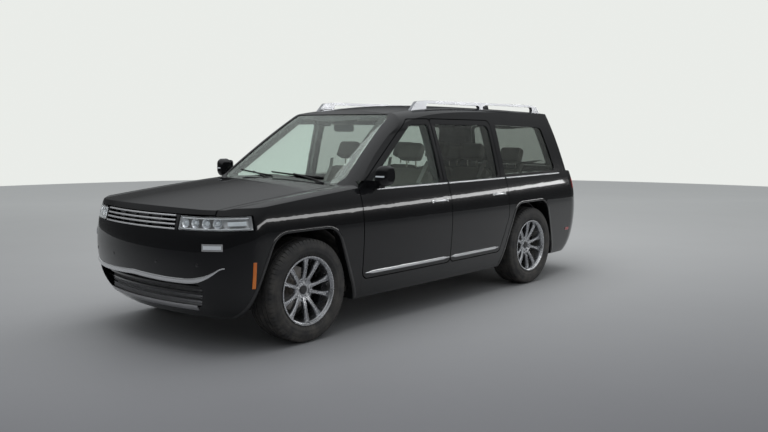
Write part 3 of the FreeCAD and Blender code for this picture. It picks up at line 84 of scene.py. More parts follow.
class Shape:
    """Points with the faces between them: quads as an array of rows of four, other faces as lists."""

    def __init__(self, points, quads=None, others=()):
        self.points = np.asarray(points, float).reshape(-1, 3)
        self.quads = np.zeros((0, 4), int) if quads is None else np.asarray(quads, int).reshape(-1, 4)
        self.others = [list(face) for face in others]

    def __add__(self, other):
        shift = len(self.points)
        return Shape(np.vstack([self.points, other.points]), np.vstack([self.quads, other.quads + shift]),
                     self.others + [[i + shift for i in face] for face in other.others])

    def mapped(self, change, turned=False):
        """The shape with its points changed as one array; turned says that the change mirrors it."""
        quads = self.quads[:, ::-1] if turned else self.quads
        others = [face[::-1] for face in self.others] if turned else self.others
        return Shape(change(self.points.copy()), quads, others)

    def moved(self, x=0.0, y=0.0, z=0.0):
        return self.mapped(lambda p: p + np.array([x, y, z]))

    def mirrored(self):
        """The same shape on the other side of the vehicle."""
        return self.mapped(lambda p: p * np.array([1, -1, 1]), turned=True)

    def turned(self, centre, axis, angle):
        """The shape turned about a line by an angle: the part across the line turns, the part along it
        stays."""
        centre, k = np.asarray(centre, float), unit(axis)
        cos, sin = math.cos(angle), math.sin(angle)

        def change(points):
            p = points - centre
            return centre + p * cos + np.cross(k, p) * sin + k * (p @ k)[:, None] * (1 - cos)

        return self.mapped(change)


def joined(shapes):
    shapes = list(shapes)
    whole = shapes[0]
    for shape in shapes[1:]:
        whole = whole + shape
    return whole


def unit(v):
    v = np.asarray(v, float)
    return v / np.maximum(np.linalg.norm(v, axis=-1, keepdims=True), 1e-12)


def grid(points, around=False, ends=False, along=False):
    """Surface over a grid of points, row by row. It may close around each row, close its last row onto its
    first, and close its first and last rows with flat faces."""
    points = np.asarray(points, float)
    rows, columns = points.shape[:2]
    a, b = np.meshgrid(np.arange(rows if along else rows - 1), np.arange(columns if around else columns - 1),
                       indexing="ij")
    a2, b2 = (a + 1) % rows, (b + 1) % columns
    quads = np.stack([a * columns + b, a * columns + b2, a2 * columns + b2, a2 * columns + b],
                     -1).reshape(-1, 4)
    others = []
    if ends:
        first = list(range(columns))
        others = [first[::-1], [i + (rows - 1) * columns for i in first]]
    return Shape(points.reshape(-1, 3), quads, others)


def outward(shape):
    """The shape with its faces turned round if its enclosed volume comes out negative."""
    p, q = shape.points, shape.quads
    six = np.einsum("ij,ij->i", p[q[:, 0]], np.cross(p[q[:, 1]], p[q[:, 2]])).sum()
    six += np.einsum("ij,ij->i", p[q[:, 0]], np.cross(p[q[:, 2]], p[q[:, 3]])).sum()
    for face in shape.others:
        f = p[face]
        six += np.einsum("ij,ij->i", np.broadcast_to(f[0], f[2:].shape), np.cross(f[1:-1], f[2:])).sum()
    return shape if six > 0 else shape.mapped(lambda points: points, turned=True)


def rounded_rectangle(width, height, radius, steps=4):
    """Closed outline: four quarter circles joined by straight runs, from the angle round each corner."""
    angle = np.linspace(0, math.pi / 2, steps + 1)
    corners = []
    for i, (sx, sy) in enumerate(((1, 1), (-1, 1), (-1, -1), (1, -1))):
        turn = angle + i * math.pi / 2
        centre = np.array([sx * (width / 2 - radius), sy * (height / 2 - radius)])
        corners.append(centre + radius * np.stack([np.cos(turn), np.sin(turn)], -1))
    return np.vstack(corners)


def ellipse(width, height, steps=16, power=2.0):
    """Closed superellipse: cosine and sine of the angle, each to the power 2 / power with its sign kept."""
    t = np.linspace(0, 2 * math.pi, steps, endpoint=False)
    c, s = np.cos(t), np.sin(t)
    return np.stack([width / 2 * np.sign(c) * np.abs(c) ** (2 / power),
                     height / 2 * np.sign(s) * np.abs(s) ** (2 / power)], -1)


def curve(points, count):
    """Smooth path through the points: a Catmull-Rom cubic between each pair, sampled evenly by its own
    parameter."""
    p = np.asarray(points, float)
    p = np.vstack([2 * p[0] - p[1], p, 2 * p[-1] - p[-2]])
    t = np.linspace(0, len(p) - 3, count)
    i = np.minimum(t.astype(int), len(p) - 4)
    u = (t - i)[:, None]
    a, b, c, d = p[i], p[i + 1], p[i + 2], p[i + 3]
    cubic = (3 * b - a - 3 * c + d) * u ** 3
    return 0.5 * (2 * b + (c - a) * u + (2 * a - 5 * b + 4 * c - d) * u ** 2 + cubic)


def swept(profile, path, up, closed=False, scale=None):
    """A closed profile (across, up) carried along a path. At each point the frame is the path's tangent,
    the given up direction made square to it, and their cross product."""
    path = np.asarray(path, float)
    if closed:
        tangent = unit(np.roll(path, -1, 0) - np.roll(path, 1, 0))
    else:
        tangent = unit(np.gradient(path, axis=0))
    up = np.broadcast_to(np.asarray(up, float), path.shape)
    up = unit(up - tangent * (up * tangent).sum(-1, keepdims=True))
    across = np.cross(tangent, up)
    profile = np.asarray(profile, float)
    if scale is None:
        scale = np.ones((len(path), 2))
    scale = np.asarray(scale, float)
    points = (path[:, None] + across[:, None] * (profile[None, :, 0] * scale[:, :1])[..., None]
              + up[:, None] * (profile[None, :, 1] * scale[:, 1:])[..., None])
    return outward(grid(points, around=True, along=closed, ends=not closed))


def tube(path, radius, sides=10):
    """A round bar along a path."""
    return swept(ellipse(2 * radius, 2 * radius, sides), path, (0.03, 0.05, 1.0))


def spun(profile, centre, axis=(0, 1, 0), steps=48, closed=False):
    """A profile of (along the axis, radius) points turned all the way round an axis. An end on the axis is
    closed with one face, and a closed profile meets itself."""
    profile = np.asarray(profile, float)
    axis = unit(axis)
    side = unit(np.cross(axis, (0.0, 0.0, 1.0) if abs(axis[2]) < 0.9 else (1.0, 0.0, 0.0)))
    over = np.cross(side, axis)
    t = np.linspace(0, 2 * math.pi, steps, endpoint=False)
    round_ = side * np.cos(t)[:, None] + over * np.sin(t)[:, None]
    points = np.asarray(centre) + axis * profile[:, None, :1] + round_[None] * profile[:, None, 1:]
    return outward(grid(points, around=True, along=closed, ends=not closed))


def plate(outline, origin, across, up, thickness, edge=0.0):
    """A flat plate: a closed outline in the plane of two directions, given a thickness along their cross
    product. With an edge, both rims are bevelled by moving the outline in towards its middle."""
    outline = np.asarray(outline, float)
    across, up = unit(across), unit(up)
    out = np.cross(across, up)
    middle = outline.mean(0)
    reach = np.linalg.norm(outline - middle, axis=1, keepdims=True)
    inner = middle + (outline - middle) * (1 - edge / np.maximum(reach, 1e-9))
    rows = [(inner, 0.0), (outline, edge), (outline, thickness - edge), (inner, thickness)]
    if edge <= 0:
        rows = [(outline, 0.0), (outline, thickness)]
    points = [np.asarray(origin) + across * r[:, :1] + up * r[:, 1:] + out * level for r, level in rows]
    return outward(grid(np.stack(points), around=True, ends=True))


def cast(origins, directions, names):
    """Where rays first meet the named nodes' triangles, with the triangles' normals. For every ray and
    triangle at once, the crossing is worked out from the triangle's two edges; rays that meet
    nothing give not-a-number."""
    triangles = []
    for name in names:
        mesh = NODES[name].data
        mesh.calc_loop_triangles()
        co = np.empty(len(mesh.vertices) * 3, np.float32)
        mesh.vertices.foreach_get("co", co)
        index = np.empty(len(mesh.loop_triangles) * 3, np.int32)
        mesh.loop_triangles.foreach_get("vertices", index)
        triangles.append(co.reshape(-1, 3)[index.reshape(-1, 3)])
    a, b, c = np.vstack(triangles).astype(float).transpose(1, 0, 2)
    e1, e2 = b - a, c - a
    origins, directions = np.broadcast_arrays(np.asarray(origins, float), np.asarray(directions, float))
    shape = origins.shape
    origins, directions = origins.reshape(-1, 3), unit(directions.reshape(-1, 3))
    hits, normals = np.full(origins.shape, np.nan), np.full(origins.shape, np.nan)
    block = 48
    for start in range(0, len(origins), block):
        o, d = origins[start:start + block, None], directions[start:start + block, None]
        p = np.cross(d, e2[None])
        det = (e1 * p).sum(-1)
        det = np.where(np.abs(det) < 1e-14, np.nan, det)
        s = o - a[None]
        u = (s * p).sum(-1) / det
        q = np.cross(s, e1[None])
        v = (d * q).sum(-1) / det
        t = (e2 * q).sum(-1) / det
        with np.errstate(invalid="ignore"):
            good = (u >= -1e-6) & (v >= -1e-6) & (u + v <= 1 + 1e-6) & (t > 0)
        t = np.where(good, t, np.inf)
        nearest = t.argmin(1)
        far = t[np.arange(len(t)), nearest]
        found = np.isfinite(far)
        rows = np.arange(start, start + len(t))[found]
        hits[rows] = origins[rows] + directions[rows] * far[found, None]
        normals[rows] = unit(np.cross(e1[nearest[found]], e2[nearest[found]]))
    facing = (normals * directions).sum(-1) > 0
    normals[facing] *= -1
    return hits.reshape(shape), normals.reshape(shape)


def filled(values):
    """Rows of points with the missing ones taken from their neighbours, row after row."""
    values = np.array(values, float)
    flat = values.reshape(-1, 3)
    index = np.arange(len(flat))
    good = np.isfinite(flat[:, 0])
    if not good.any():
        raise ValueError("no ray met the body")
    for i in range(3):
        flat[:, i] = np.interp(index, index[good], flat[good, i])
    return flat.reshape(values.shape)


def smoothed(values, passes=2):
    """Rows of points, each averaged with its neighbours a few times, with both ends kept."""
    values = np.array(values, float)
    for _ in range(passes):
        values[1:-1] = (values[:-2] + 2 * values[1:-1] + values[2:]) / 4
    return values


SKIN = ["body_side_left", "front_door_left", "rear_door_left", "fender_left", "front_bumper", "rear_bumper",
        "roof_panel", "hood", "tailgate", "head_lamps", "tail_lamps", "grille"]


def side_skin(x, z, names=SKIN):
    """Points on the left side of the body at places seen from the side, with their normals."""
    x, z = np.broadcast_arrays(np.asarray(x, float), np.asarray(z, float))
    hits, normals = cast(np.stack([x, np.full(x.shape, 2.0), z], -1), (0, -1, 0), names)
    return filled(hits), unit(filled(normals))


def shell(points, normals, outer, inner, around=False, hole=False):
    """A skin with thickness: a grid of points moved along its normals by two amounts, joined round its
    edge. A grid that closes around each row has its first row filled as the middle of the skin, or
    kept open as a hole."""
    rows, columns = points.shape[:2]
    front, back = grid(points + normals * outer, around=around), grid(points + normals * inner, around=around)
    count = rows * columns
    index = np.arange(count).reshape(rows, columns)
    quads, others = [front.quads, back.quads[:, ::-1] + count], []
    if not around:
        loops = [np.concatenate([index[0, :-1], index[:-1, -1], index[-1, :0:-1], index[:0:-1, 0]])]
    else:
        loops = [index[-1, ::-1]] + ([index[0]] if hole else [])
    if around and not hole:
        others = [index[0][::-1].tolist(), (index[0] + count).tolist()]
    for loop in loops:
        after = np.roll(loop, -1)
        quads.append(np.stack([loop, loop + count, after + count, after], -1))
    return outward(Shape(np.vstack([front.points, back.points]), np.vstack(quads), others))


def strip_profile(width, height, sink=0.003, steps=7):
    """Section of a moulding on a surface: half an ellipse over a straight foot that stands in the surface."""
    t = np.linspace(0, math.pi, steps)
    top = np.stack([width / 2 * np.cos(t), height * np.sin(t) ** 0.7], -1)
    return np.vstack([[(width / 2, -sink)], top, [(-width / 2, -sink)]])


def rounded_path(corners, radii, steps=6):
    """An open run of straight lines with its corners rounded: each corner gives an arc of points between
    the two places where a circle of its radius meets the lines."""
    corners = np.asarray(corners, float)
    out = [corners[:1]]
    for before, corner, after, radius in zip(corners[:-2], corners[1:-1], corners[2:], radii):
        u, w = unit(before - corner), unit(after - corner)
        half = math.acos(np.clip(u @ w, -1, 1)) / 2
        centre = corner + unit(u + w) * radius / math.sin(half)
        a, b = corner + u * radius / math.tan(half) - centre, corner + w * radius / math.tan(half) - centre
        share = np.linspace(0, 1, steps)[:, None]
        out.append(centre + unit(a * (1 - share) + b * share) * radius)
    out.append(corners[-1:])
    return np.vstack(out)


def resampled(path, count):
    """The path with evenly spaced points: each coordinate is interpolated over the length run so far."""
    path = np.asarray(path, float)
    run = np.concatenate([[0], np.cumsum(np.linalg.norm(np.diff(path, axis=0), axis=1))])
    at = np.linspace(0, run[-1], count)
    return np.stack([np.interp(at, run, path[:, i]) for i in range(path.shape[1])], -1)


def round_skin(pivot, angles, low, high, names, rows=8, edge=0.0):
    """A grid of points on the body round an upright line: for each angle, level rays come in towards the
    line at heights spread between the lowest and the highest place where the named nodes are met."""
    angle = np.radians(np.asarray(angles, float))
    out = np.stack([np.cos(angle), np.sin(angle), np.zeros(len(angle))], -1)
    base = np.array([pivot[0], pivot[1], 0.0]) + out * 2.5
    probe = np.linspace(low, high, 33)
    start = base[None] + probe[:, None, None] * np.array([0, 0, 1.0])
    hits, _ = cast(start, -out[None], names)
    z = np.where(np.isfinite(hits[..., 0]), probe[:, None], np.nan)
    bottom, top = np.nanmin(z, 0) + edge, np.nanmax(z, 0) - edge
    levels = bottom + (top - bottom) * np.linspace(0, 1, rows)[:, None]
    hits, normals = cast(base[None] + levels[..., None] * np.array([0, 0, 1.0]), -out[None], names)
    for i in range(rows):
        hits[i], normals[i] = filled(hits[i]), unit(filled(normals[i]))
    return hits, normals


def round_path(pivot, angles, heights, names):
    """A path on the body round an upright line, at a height for each angle."""
    angle = np.radians(np.asarray(angles, float))
    out = np.stack([np.cos(angle), np.sin(angle), np.zeros(len(angle))], -1)
    heights = np.broadcast_to(np.asarray(heights, float), angle.shape)
    base = np.stack([pivot[0] + 2.5 * out[:, 0], pivot[1] + 2.5 * out[:, 1], heights], -1)
    hits, normals = cast(base, -out, names)
    return smoothed(filled(hits), 1), unit(smoothed(filled(normals), 2))


def rounded_patch(centre, outline, across, up, direction, names, rings=4):
    """A patch of the body inside an outline: rings of the outline drawn in to its middle, each point taken
    along one direction onto the body. Gives the points and normals, ring by ring from the middle."""
    share = np.linspace(0.04, 1, rings)[:, None, None]
    outline = np.asarray(outline, float)[None] * share
    start = (np.asarray(centre, float) + outline[..., :1] * np.asarray(across, float)
             + outline[..., 1:] * np.asarray(up, float))
    hits, normals = cast(start, np.broadcast_to(np.asarray(direction, float), start.shape), names)
    return filled(hits), unit(filled(normals))


def blocks(centres, sizes):
    """Small boxes all at once: eight corners round each centre, from half its size each way."""
    corner = np.array([(x, y, z) for x in (-1, 1) for y in (-1, 1) for z in (-1, 1)]) / 2
    centres = np.asarray(centres, float)
    sizes = np.broadcast_to(np.asarray(sizes, float), centres.shape)
    points = centres[:, None] + corner[None] * sizes[:, None]
    faces = np.array([(0, 1, 3, 2), (4, 6, 7, 5), (0, 4, 5, 1), (2, 3, 7, 6), (0, 2, 6, 4), (1, 5, 7, 3)])
    quads = faces[None] + 8 * np.arange(len(centres))[:, None, None]
    return outward(Shape(points.reshape(-1, 3), quads.reshape(-1, 4)))


# Pieces


def add_piece(name, shape, body, material, replaced=(), smooth=30.0):
    """Makes an object of a shape, gives it its finish, and sets it on its body."""
    mesh = bpy.data.meshes.new(name)
    mesh.from_pydata(shape.points.tolist(), [], shape.quads.tolist() + shape.others)
    mesh.validate()
    mesh.update()
    item = bpy.data.objects.new(name, mesh)
    bpy.context.scene.collection.objects.link(item)
    mesh.materials.append(material)
    if smooth:
        shade(mesh, smooth)
    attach(item, body)
    if replaced:
        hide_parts(*replaced)
    return item


def shade(mesh, angle):
    """Smooth shading, kept sharp over edges that turn by more than the angle in degrees."""
    mesh.polygons.foreach_set("use_smooth", np.ones(len(mesh.polygons), bool))
    mesh.set_sharp_from_angle(angle=math.radians(angle))
    mesh.update()


def both(name, shape, body, material, smooth=30.0):
    """The same piece on the left and the right; a body's name has {side} where the side is named."""
    made = []
    for side, sign in SIDES:
        here = shape if sign > 0 else shape.mirrored()
        made.append(add_piece(f"{name}_{side}", here, body.format(side=side), material, (), smooth))
    return made


# Finishes


def new_group(name, inputs, outputs):
    """An empty node group with its sockets and the two nodes that hold them."""
    tree = bpy.data.node_groups.new(name, "ShaderNodeTree")
    for label, kind, value in inputs:
        socket = tree.interface.new_socket(name=label, in_out="INPUT", socket_type=kind)
        if value is not None:
            socket.default_value = value
    for label, kind in outputs:
        tree.interface.new_socket(name=label, in_out="OUTPUT", socket_type=kind)
    return tree, tree.nodes.new("NodeGroupInput"), tree.nodes.new("NodeGroupOutput")


def put(tree, kind, **sockets):
    """A node whose inputs are set to values or joined to other nodes' outputs, by name or by number."""
    made = tree.nodes.new(kind)
    for key, value in sockets.items():
        if hasattr(made, key) and not isinstance(value, bpy.types.NodeSocket):
            setattr(made, key, value)
            continue
        numbered = key[0] == "_" and key[1:].isdigit()
        target = made.inputs[int(key[1:]) if numbered else key.replace("_", " ")]
        if isinstance(value, bpy.types.NodeSocket):
            tree.links.new(value, target)
        else:
            target.default_value = value
    return made


def maths(tree, operation, a, b=None, clamp=False):
    sockets = {"_0": a} if b is None else {"_0": a, "_1": b}
    return put(tree, "ShaderNodeMath", operation=operation, use_clamp=clamp, **sockets).outputs[0]


def mix_colour(tree, factor, a, b):
    made = put(tree, "ShaderNodeMix", data_type="RGBA")
    for number, value in ((0, factor), (6, a), (7, b)):
        if isinstance(value, bpy.types.NodeSocket):
            tree.links.new(value, made.inputs[number])
        else:
            made.inputs[number].default_value = value
    return made.outputs[2]


def ramp(tree, value, low, high):
    """The value taken from low..high to 0..1, held at both ends."""
    made = put(tree, "ShaderNodeMapRange", clamp=True, Value=value)
    made.inputs["From Min"].default_value = low
    made.inputs["From Max"].default_value = high
    return made.outputs[0]


GROUPS = {}


def build_groups():
    """The effects that several finishes share."""
    tree, given, out = new_group("Worn surface", [
        ("Colour", "NodeSocketColor", (0.5, 0.5, 0.5, 1)),
        ("Second colour", "NodeSocketColor", (0.4, 0.4, 0.4, 1)), ("Roughness", "NodeSocketFloat", 0.5),
        ("Spread", "NodeSocketFloat", 0.1), ("Patch size", "NodeSocketFloat", 6.0),
        ("Grain size", "NodeSocketFloat", 400.0), ("Dust", "NodeSocketFloat", 0.0),
        ("Dust top", "NodeSocketFloat", 0.7),
    ], [("Colour", "NodeSocketColor"), ("Roughness", "NodeSocketFloat"), ("Height", "NodeSocketFloat")])
    place = put(tree, "ShaderNodeTexCoord").outputs["Object"]
    patches = put(tree, "ShaderNodeTexNoise", Vector=place, Scale=given.outputs["Patch size"], Detail=5.0)
    grain = put(tree, "ShaderNodeTexNoise", Vector=place, Scale=given.outputs["Grain size"], Detail=2.0)
    patchy = ramp(tree, patches.outputs["Fac"], 0.35, 0.7)
    base = mix_colour(tree, patchy, given.outputs["Colour"], given.outputs["Second colour"])
    height = put(tree, "ShaderNodeSeparateXYZ", Vector=place).outputs["Z"]
    below = maths(tree, "SUBTRACT", given.outputs["Dust top"], height)
    low = ramp(tree, below, 0.0, 0.6)
    dust = maths(tree, "MULTIPLY", low, maths(tree, "MULTIPLY", patchy, given.outputs["Dust"]), clamp=True)
    dusty = mix_colour(tree, dust, base, (0.2, 0.18, 0.155, 1))
    rough = maths(tree, "MULTIPLY", maths(tree, "SUBTRACT", patches.outputs["Fac"], 0.5),
                  given.outputs["Spread"])
    rough = maths(tree, "ADD", maths(tree, "ADD", rough, given.outputs["Roughness"]),
                  maths(tree, "MULTIPLY", dust, 0.4), clamp=True)
    tree.links.new(dusty, out.inputs["Colour"])
    tree.links.new(rough, out.inputs["Roughness"])
    tree.links.new(grain.outputs["Fac"], out.inputs["Height"])
    GROUPS["worn"] = tree

    tree, given, out = new_group("Pebbled cells", [("Cells", "NodeSocketFloat", 700.0)],
                                 [("Height", "NodeSocketFloat"), ("Mask", "NodeSocketFloat")])
    place = put(tree, "ShaderNodeTexCoord").outputs["Object"]
    cells = put(tree, "ShaderNodeTexVoronoi", feature="DISTANCE_TO_EDGE", Vector=place,
                Scale=given.outputs["Cells"])
    folds = put(tree, "ShaderNodeTexNoise", Vector=place, Scale=35.0, Detail=4.0)
    edge = ramp(tree, cells.outputs["Distance"], 0.0, 0.12)
    height = maths(tree, "ADD", edge, maths(tree, "MULTIPLY", folds.outputs["Fac"], 1.5))
    tree.links.new(height, out.inputs["Height"])
    tree.links.new(edge, out.inputs["Mask"])
    GROUPS["cells"] = tree

    tree, given, out = new_group("Drawn lines", [("Lines", "NodeSocketFloat", 900.0),
                                                 ("Direction", "NodeSocketVector", (1.0, 0.02, 1.0))],
                                 [("Height", "NodeSocketFloat")])
    place = put(tree, "ShaderNodeTexCoord").outputs["Object"]
    stretched = put(tree, "ShaderNodeVectorMath", operation="MULTIPLY", _0=place,
                    _1=given.outputs["Direction"])
    lines = put(tree, "ShaderNodeTexNoise", Vector=stretched.outputs[0],
                Scale=given.outputs["Lines"], Detail=2.0)
    tree.links.new(lines.outputs["Fac"], out.inputs["Height"])
    GROUPS["lines"] = tree


def finish(name, colour, roughness, metallic=0.0, second=None, spread=0.1, patch=6.0, grain=400.0,
           depth=0.0001, dust=0.0, dust_top=0.7, cells=None, lines=None, **sockets):
    """A material whose colour, roughness and bump come from the shared groups, with its own values."""
    material = bpy.data.materials.new(name)
    material.use_nodes = True
    tree = material.node_tree
    shader = next(n for n in tree.nodes if n.type == "BSDF_PRINCIPLED")
    second = second or tuple(c * 0.8 for c in colour)
    worn = tree.nodes.new("ShaderNodeGroup")
    worn.node_tree = GROUPS["worn"]
    for key, value in (("Colour", (*colour, 1)), ("Second colour", (*second, 1)), ("Roughness", roughness),
                       ("Spread", spread), ("Patch size", patch), ("Grain size", grain), ("Dust", dust),
                       ("Dust top", dust_top)):
        worn.inputs[key].default_value = value
    tree.links.new(worn.outputs["Colour"], shader.inputs["Base Color"])
    tree.links.new(worn.outputs["Roughness"], shader.inputs["Roughness"])
    height = worn.outputs["Height"]
    if cells:
        pebbles = tree.nodes.new("ShaderNodeGroup")
        pebbles.node_tree = GROUPS["cells"]
        pebbles.inputs["Cells"].default_value = cells
        height = pebbles.outputs["Height"]
    if lines:
        drawn = tree.nodes.new("ShaderNodeGroup")
        drawn.node_tree = GROUPS["lines"]
        drawn.inputs["Direction"].default_value = lines
        height = drawn.outputs["Height"]
    bump = put(tree, "ShaderNodeBump", Distance=depth, Height=height)
    bump.inputs["Strength"].default_value = 1.0
    tree.links.new(bump.outputs["Normal"], shader.inputs["Normal"])
    shader.inputs["Metallic"].default_value = metallic
    for key, value in sockets.items():
        shader.inputs[key.replace("_", " ")].default_value = value
    return material


def glass(name, colour):
    """Clear or tinted glass: transmission with a plain amount, and a faint uneven surface."""
    material = bpy.data.materials.new(name)
    material.use_nodes = True
    tree = material.node_tree
    shader = next(n for n in tree.nodes if n.type == "BSDF_PRINCIPLED")
    shader.inputs["Base Color"].default_value = (*colour, 1)
    shader.inputs["Roughness"].default_value = 0.0
    shader.inputs["IOR"].default_value = 1.45
    shader.inputs["Transmission Weight"].default_value = 1.0
    place = put(tree, "ShaderNodeTexCoord").outputs["Object"]
    waves = put(tree, "ShaderNodeTexNoise", Vector=place, Scale=3.0, Detail=1.0)
    bump = put(tree, "ShaderNodeBump", Distance=0.0002, Height=waves.outputs["Fac"])
    tree.links.new(bump.outputs["Normal"], shader.inputs["Normal"])
    return material


FINISH = {}


def build_finishes(design):
    """One material for each finish of the vehicle."""
    paint = tuple(design.paint)
    FINISH.update(
        paint=finish("Gloss black paint", paint, 0.2, second=tuple(c * 1.25 for c in paint), spread=0.05,
                     patch=2.0, grain=1500.0, depth=0.000003, dust=0.05, dust_top=0.5, Coat_Weight=1.0,
                     Coat_Roughness=0.02, Coat_IOR=1.45, Specular_IOR_Level=0.1),
        glass=glass("Screen glass", (0.74, 0.83, 0.79)),
        tint=glass("Tinted glass", (0.42, 0.45, 0.43)),
        lens=glass("Lamp lens", (0.95, 0.97, 1.0)),
        red=finish("Red lamp lens", (0.32, 0.008, 0.01), 0.08, second=(0.2, 0.004, 0.006), grain=900.0,
                   depth=0.00002, Coat_Weight=1.0, Coat_Roughness=0.03),
        amber=finish("Amber marker lens", (0.75, 0.2, 0.02), 0.1, second=(0.6, 0.13, 0.01), grain=900.0,
                     depth=0.00002, Coat_Weight=1.0, Coat_Roughness=0.03),
        black=finish("Gloss black trim", (0.012, 0.012, 0.013), 0.12, grain=900.0, depth=0.00001, dust=0.15,
                     Coat_Weight=0.6, Coat_Roughness=0.05),
        grained=finish("Grained black plastic", (0.028, 0.028, 0.03), 0.55, second=(0.036, 0.036, 0.037),
                       cells=1500.0, depth=0.00006, dust=0.35),
        chrome=finish("Bright trim", (0.84, 0.85, 0.86), 0.16, 0.7, second=(0.8, 0.81, 0.83), spread=0.06,
                      grain=700.0, depth=0.000006, dust=0.08),
        rail=finish("Anodised rail", (0.5, 0.51, 0.53), 0.28, 1.0, second=(0.46, 0.47, 0.49),
                    lines=(0.02, 1.0, 1.0), depth=0.00002),
        rubber=finish("Tyre rubber", (0.022, 0.022, 0.023), 0.7, second=(0.034, 0.033, 0.032), patch=14.0,
                      grain=700.0, depth=0.00015, dust=0.2, dust_top=0.9),
        seal=finish("Seal rubber", (0.012, 0.012, 0.012), 0.6, grain=900.0, depth=0.00005),
        alloy=finish("Cast alloy", (0.58, 0.59, 0.61), 0.26, 1.0, second=(0.52, 0.53, 0.55), spread=0.12,
                     patch=22.0, grain=900.0, depth=0.00002, dust=0.12, dust_top=0.75),
        pocket=finish("Dark wheel pockets", (0.05, 0.051, 0.054), 0.35, 0.4, grain=600.0, depth=0.00003,
                      dust=0.3),
        disc=finish("Brake disc steel", (0.42, 0.41, 0.4), 0.34, 1.0, second=(0.34, 0.31, 0.28), patch=30.0,
                    lines=(0.05, 1.0, 0.05), depth=0.00005, dust=0.2),
        caliper=finish("Brake caliper", (0.16, 0.16, 0.17), 0.45, 0.6, patch=40.0, grain=500.0, depth=0.0001,
                       dust=0.3),
        coated=finish("Coated sheet steel", (0.03, 0.03, 0.032), 0.42, second=(0.04, 0.04, 0.042),
                      grain=300.0, depth=0.00012, dust=0.4),
        liner=finish("Arch liner felt", (0.016, 0.016, 0.016), 0.9, second=(0.024, 0.023, 0.022), patch=18.0,
                     grain=1200.0, depth=0.0004, dust=0.5, dust_top=1.1),
        chassis=finish("Chassis paint", (0.035, 0.035, 0.036), 0.5, second=(0.05, 0.046, 0.042), patch=12.0,
                       grain=250.0, depth=0.0002, dust=0.5),
        iron=finish("Cast iron", (0.14, 0.125, 0.115), 0.65, 0.7, second=(0.17, 0.105, 0.07), patch=20.0,
                    grain=350.0, depth=0.0003, dust=0.4),
        engine=finish("Engine castings", (0.36, 0.36, 0.37), 0.42, 0.9, second=(0.28, 0.275, 0.27),
                      patch=10.0, grain=260.0, depth=0.0002),
        steel=finish("Exhaust steel", (0.46, 0.44, 0.41), 0.35, 1.0, second=(0.34, 0.29, 0.24), patch=7.0,
                     lines=(1.0, 0.02, 1.0), depth=0.00006, dust=0.3),
        cabin=finish("Soft cabin plastic", (0.035, 0.035, 0.037), 0.62, second=(0.042, 0.042, 0.043),
                     cells=1100.0, depth=0.0001),
        leather=finish("Seat leather", tuple(design.leather), 0.48,
                       second=tuple(c * 0.86 for c in design.leather), patch=9.0, cells=650.0, depth=0.00016),
        wheel_leather=finish("Steering wheel leather", (0.03, 0.03, 0.031), 0.5, cells=900.0, depth=0.00012),
        carpet=finish("Carpet", (0.03, 0.029, 0.028), 0.95, second=(0.045, 0.043, 0.041), patch=30.0,
                      grain=900.0, depth=0.0012),
        cloth=finish("Roof lining", (0.42, 0.41, 0.385), 0.9, second=(0.38, 0.37, 0.35), patch=25.0,
                     grain=1100.0, depth=0.0003),
        mirror=finish("Mirror glass", (0.85, 0.87, 0.88), 0.015, 1.0, spread=0.01, grain=50.0,
                      depth=0.000001),
        silver=finish("Satin silver", (0.42, 0.42, 0.43), 0.3, 0.6, second=(0.38, 0.38, 0.39), grain=800.0,
                      depth=0.00001),
        clear=finish("Clear lamp glass", (0.75, 0.79, 0.82), 0.05, second=(0.7, 0.74, 0.78), grain=500.0,
                     depth=0.00001, Coat_Weight=1.0, Coat_Roughness=0.01),
        guide=finish("Light guide", (0.82, 0.83, 0.84), 0.3, second=(0.78, 0.79, 0.8), grain=600.0,
                     depth=0.00001),
        red_glass=glass("Red lamp glass", (0.75, 0.03, 0.03)),
        red_light=finish("Red light guide", (0.6, 0.02, 0.015), 0.35, second=(0.5, 0.012, 0.01), grain=600.0,
                         depth=0.00001),
        screen=finish("Display", (0.01, 0.012, 0.016), 0.12, grain=1200.0, depth=0.00001, Coat_Weight=0.8),
    )


NODE_FINISH = {
    "window_glass": "glass", "tinted_glass": "tint", "lamp_lens": "lens", "red_lens": "red",
    "black_plastic": "black", "coated_steel": "coated", "liner_plastic": "liner", "chassis_steel": "chassis",
    "cast_iron": "iron", "engine_metal": "engine", "bright_steel": "steel", "cabin_plastic": "cabin",
    "wheel_leather": "wheel_leather", "seat_leather": "leather", "rail_metal": "rail",
    "tyre_rubber": "rubber", "wheel_alloy": "alloy", "body_paint": "paint",
}


def dress_nodes():
    """Every node of the frame gets the finish of its slot."""
    for subpart in frame["record"]["subparts"]:
        item = NODES[subpart["node"]]
        material = FINISH[NODE_FINISH[subpart["material_slot"]]]
        item.data.materials.clear()
        item.data.materials.append(material)
        for link in item.material_slots:
            link.material = material


# What a user of the panel can change


class VehicleDesign(bpy.types.PropertyGroup):
    """Finishes and trim of the vehicle."""

    paint: bpy.props.FloatVectorProperty(
        name="Paint", description="Colour of the body panels", subtype="COLOR", size=3, min=0, max=1,
        default=(0.006, 0.0062, 0.007))
    leather: bpy.props.FloatVectorProperty(
        name="Leather", description="Colour of the seats", subtype="COLOR", size=3, min=0, max=1,
        default=(0.17, 0.15, 0.13))


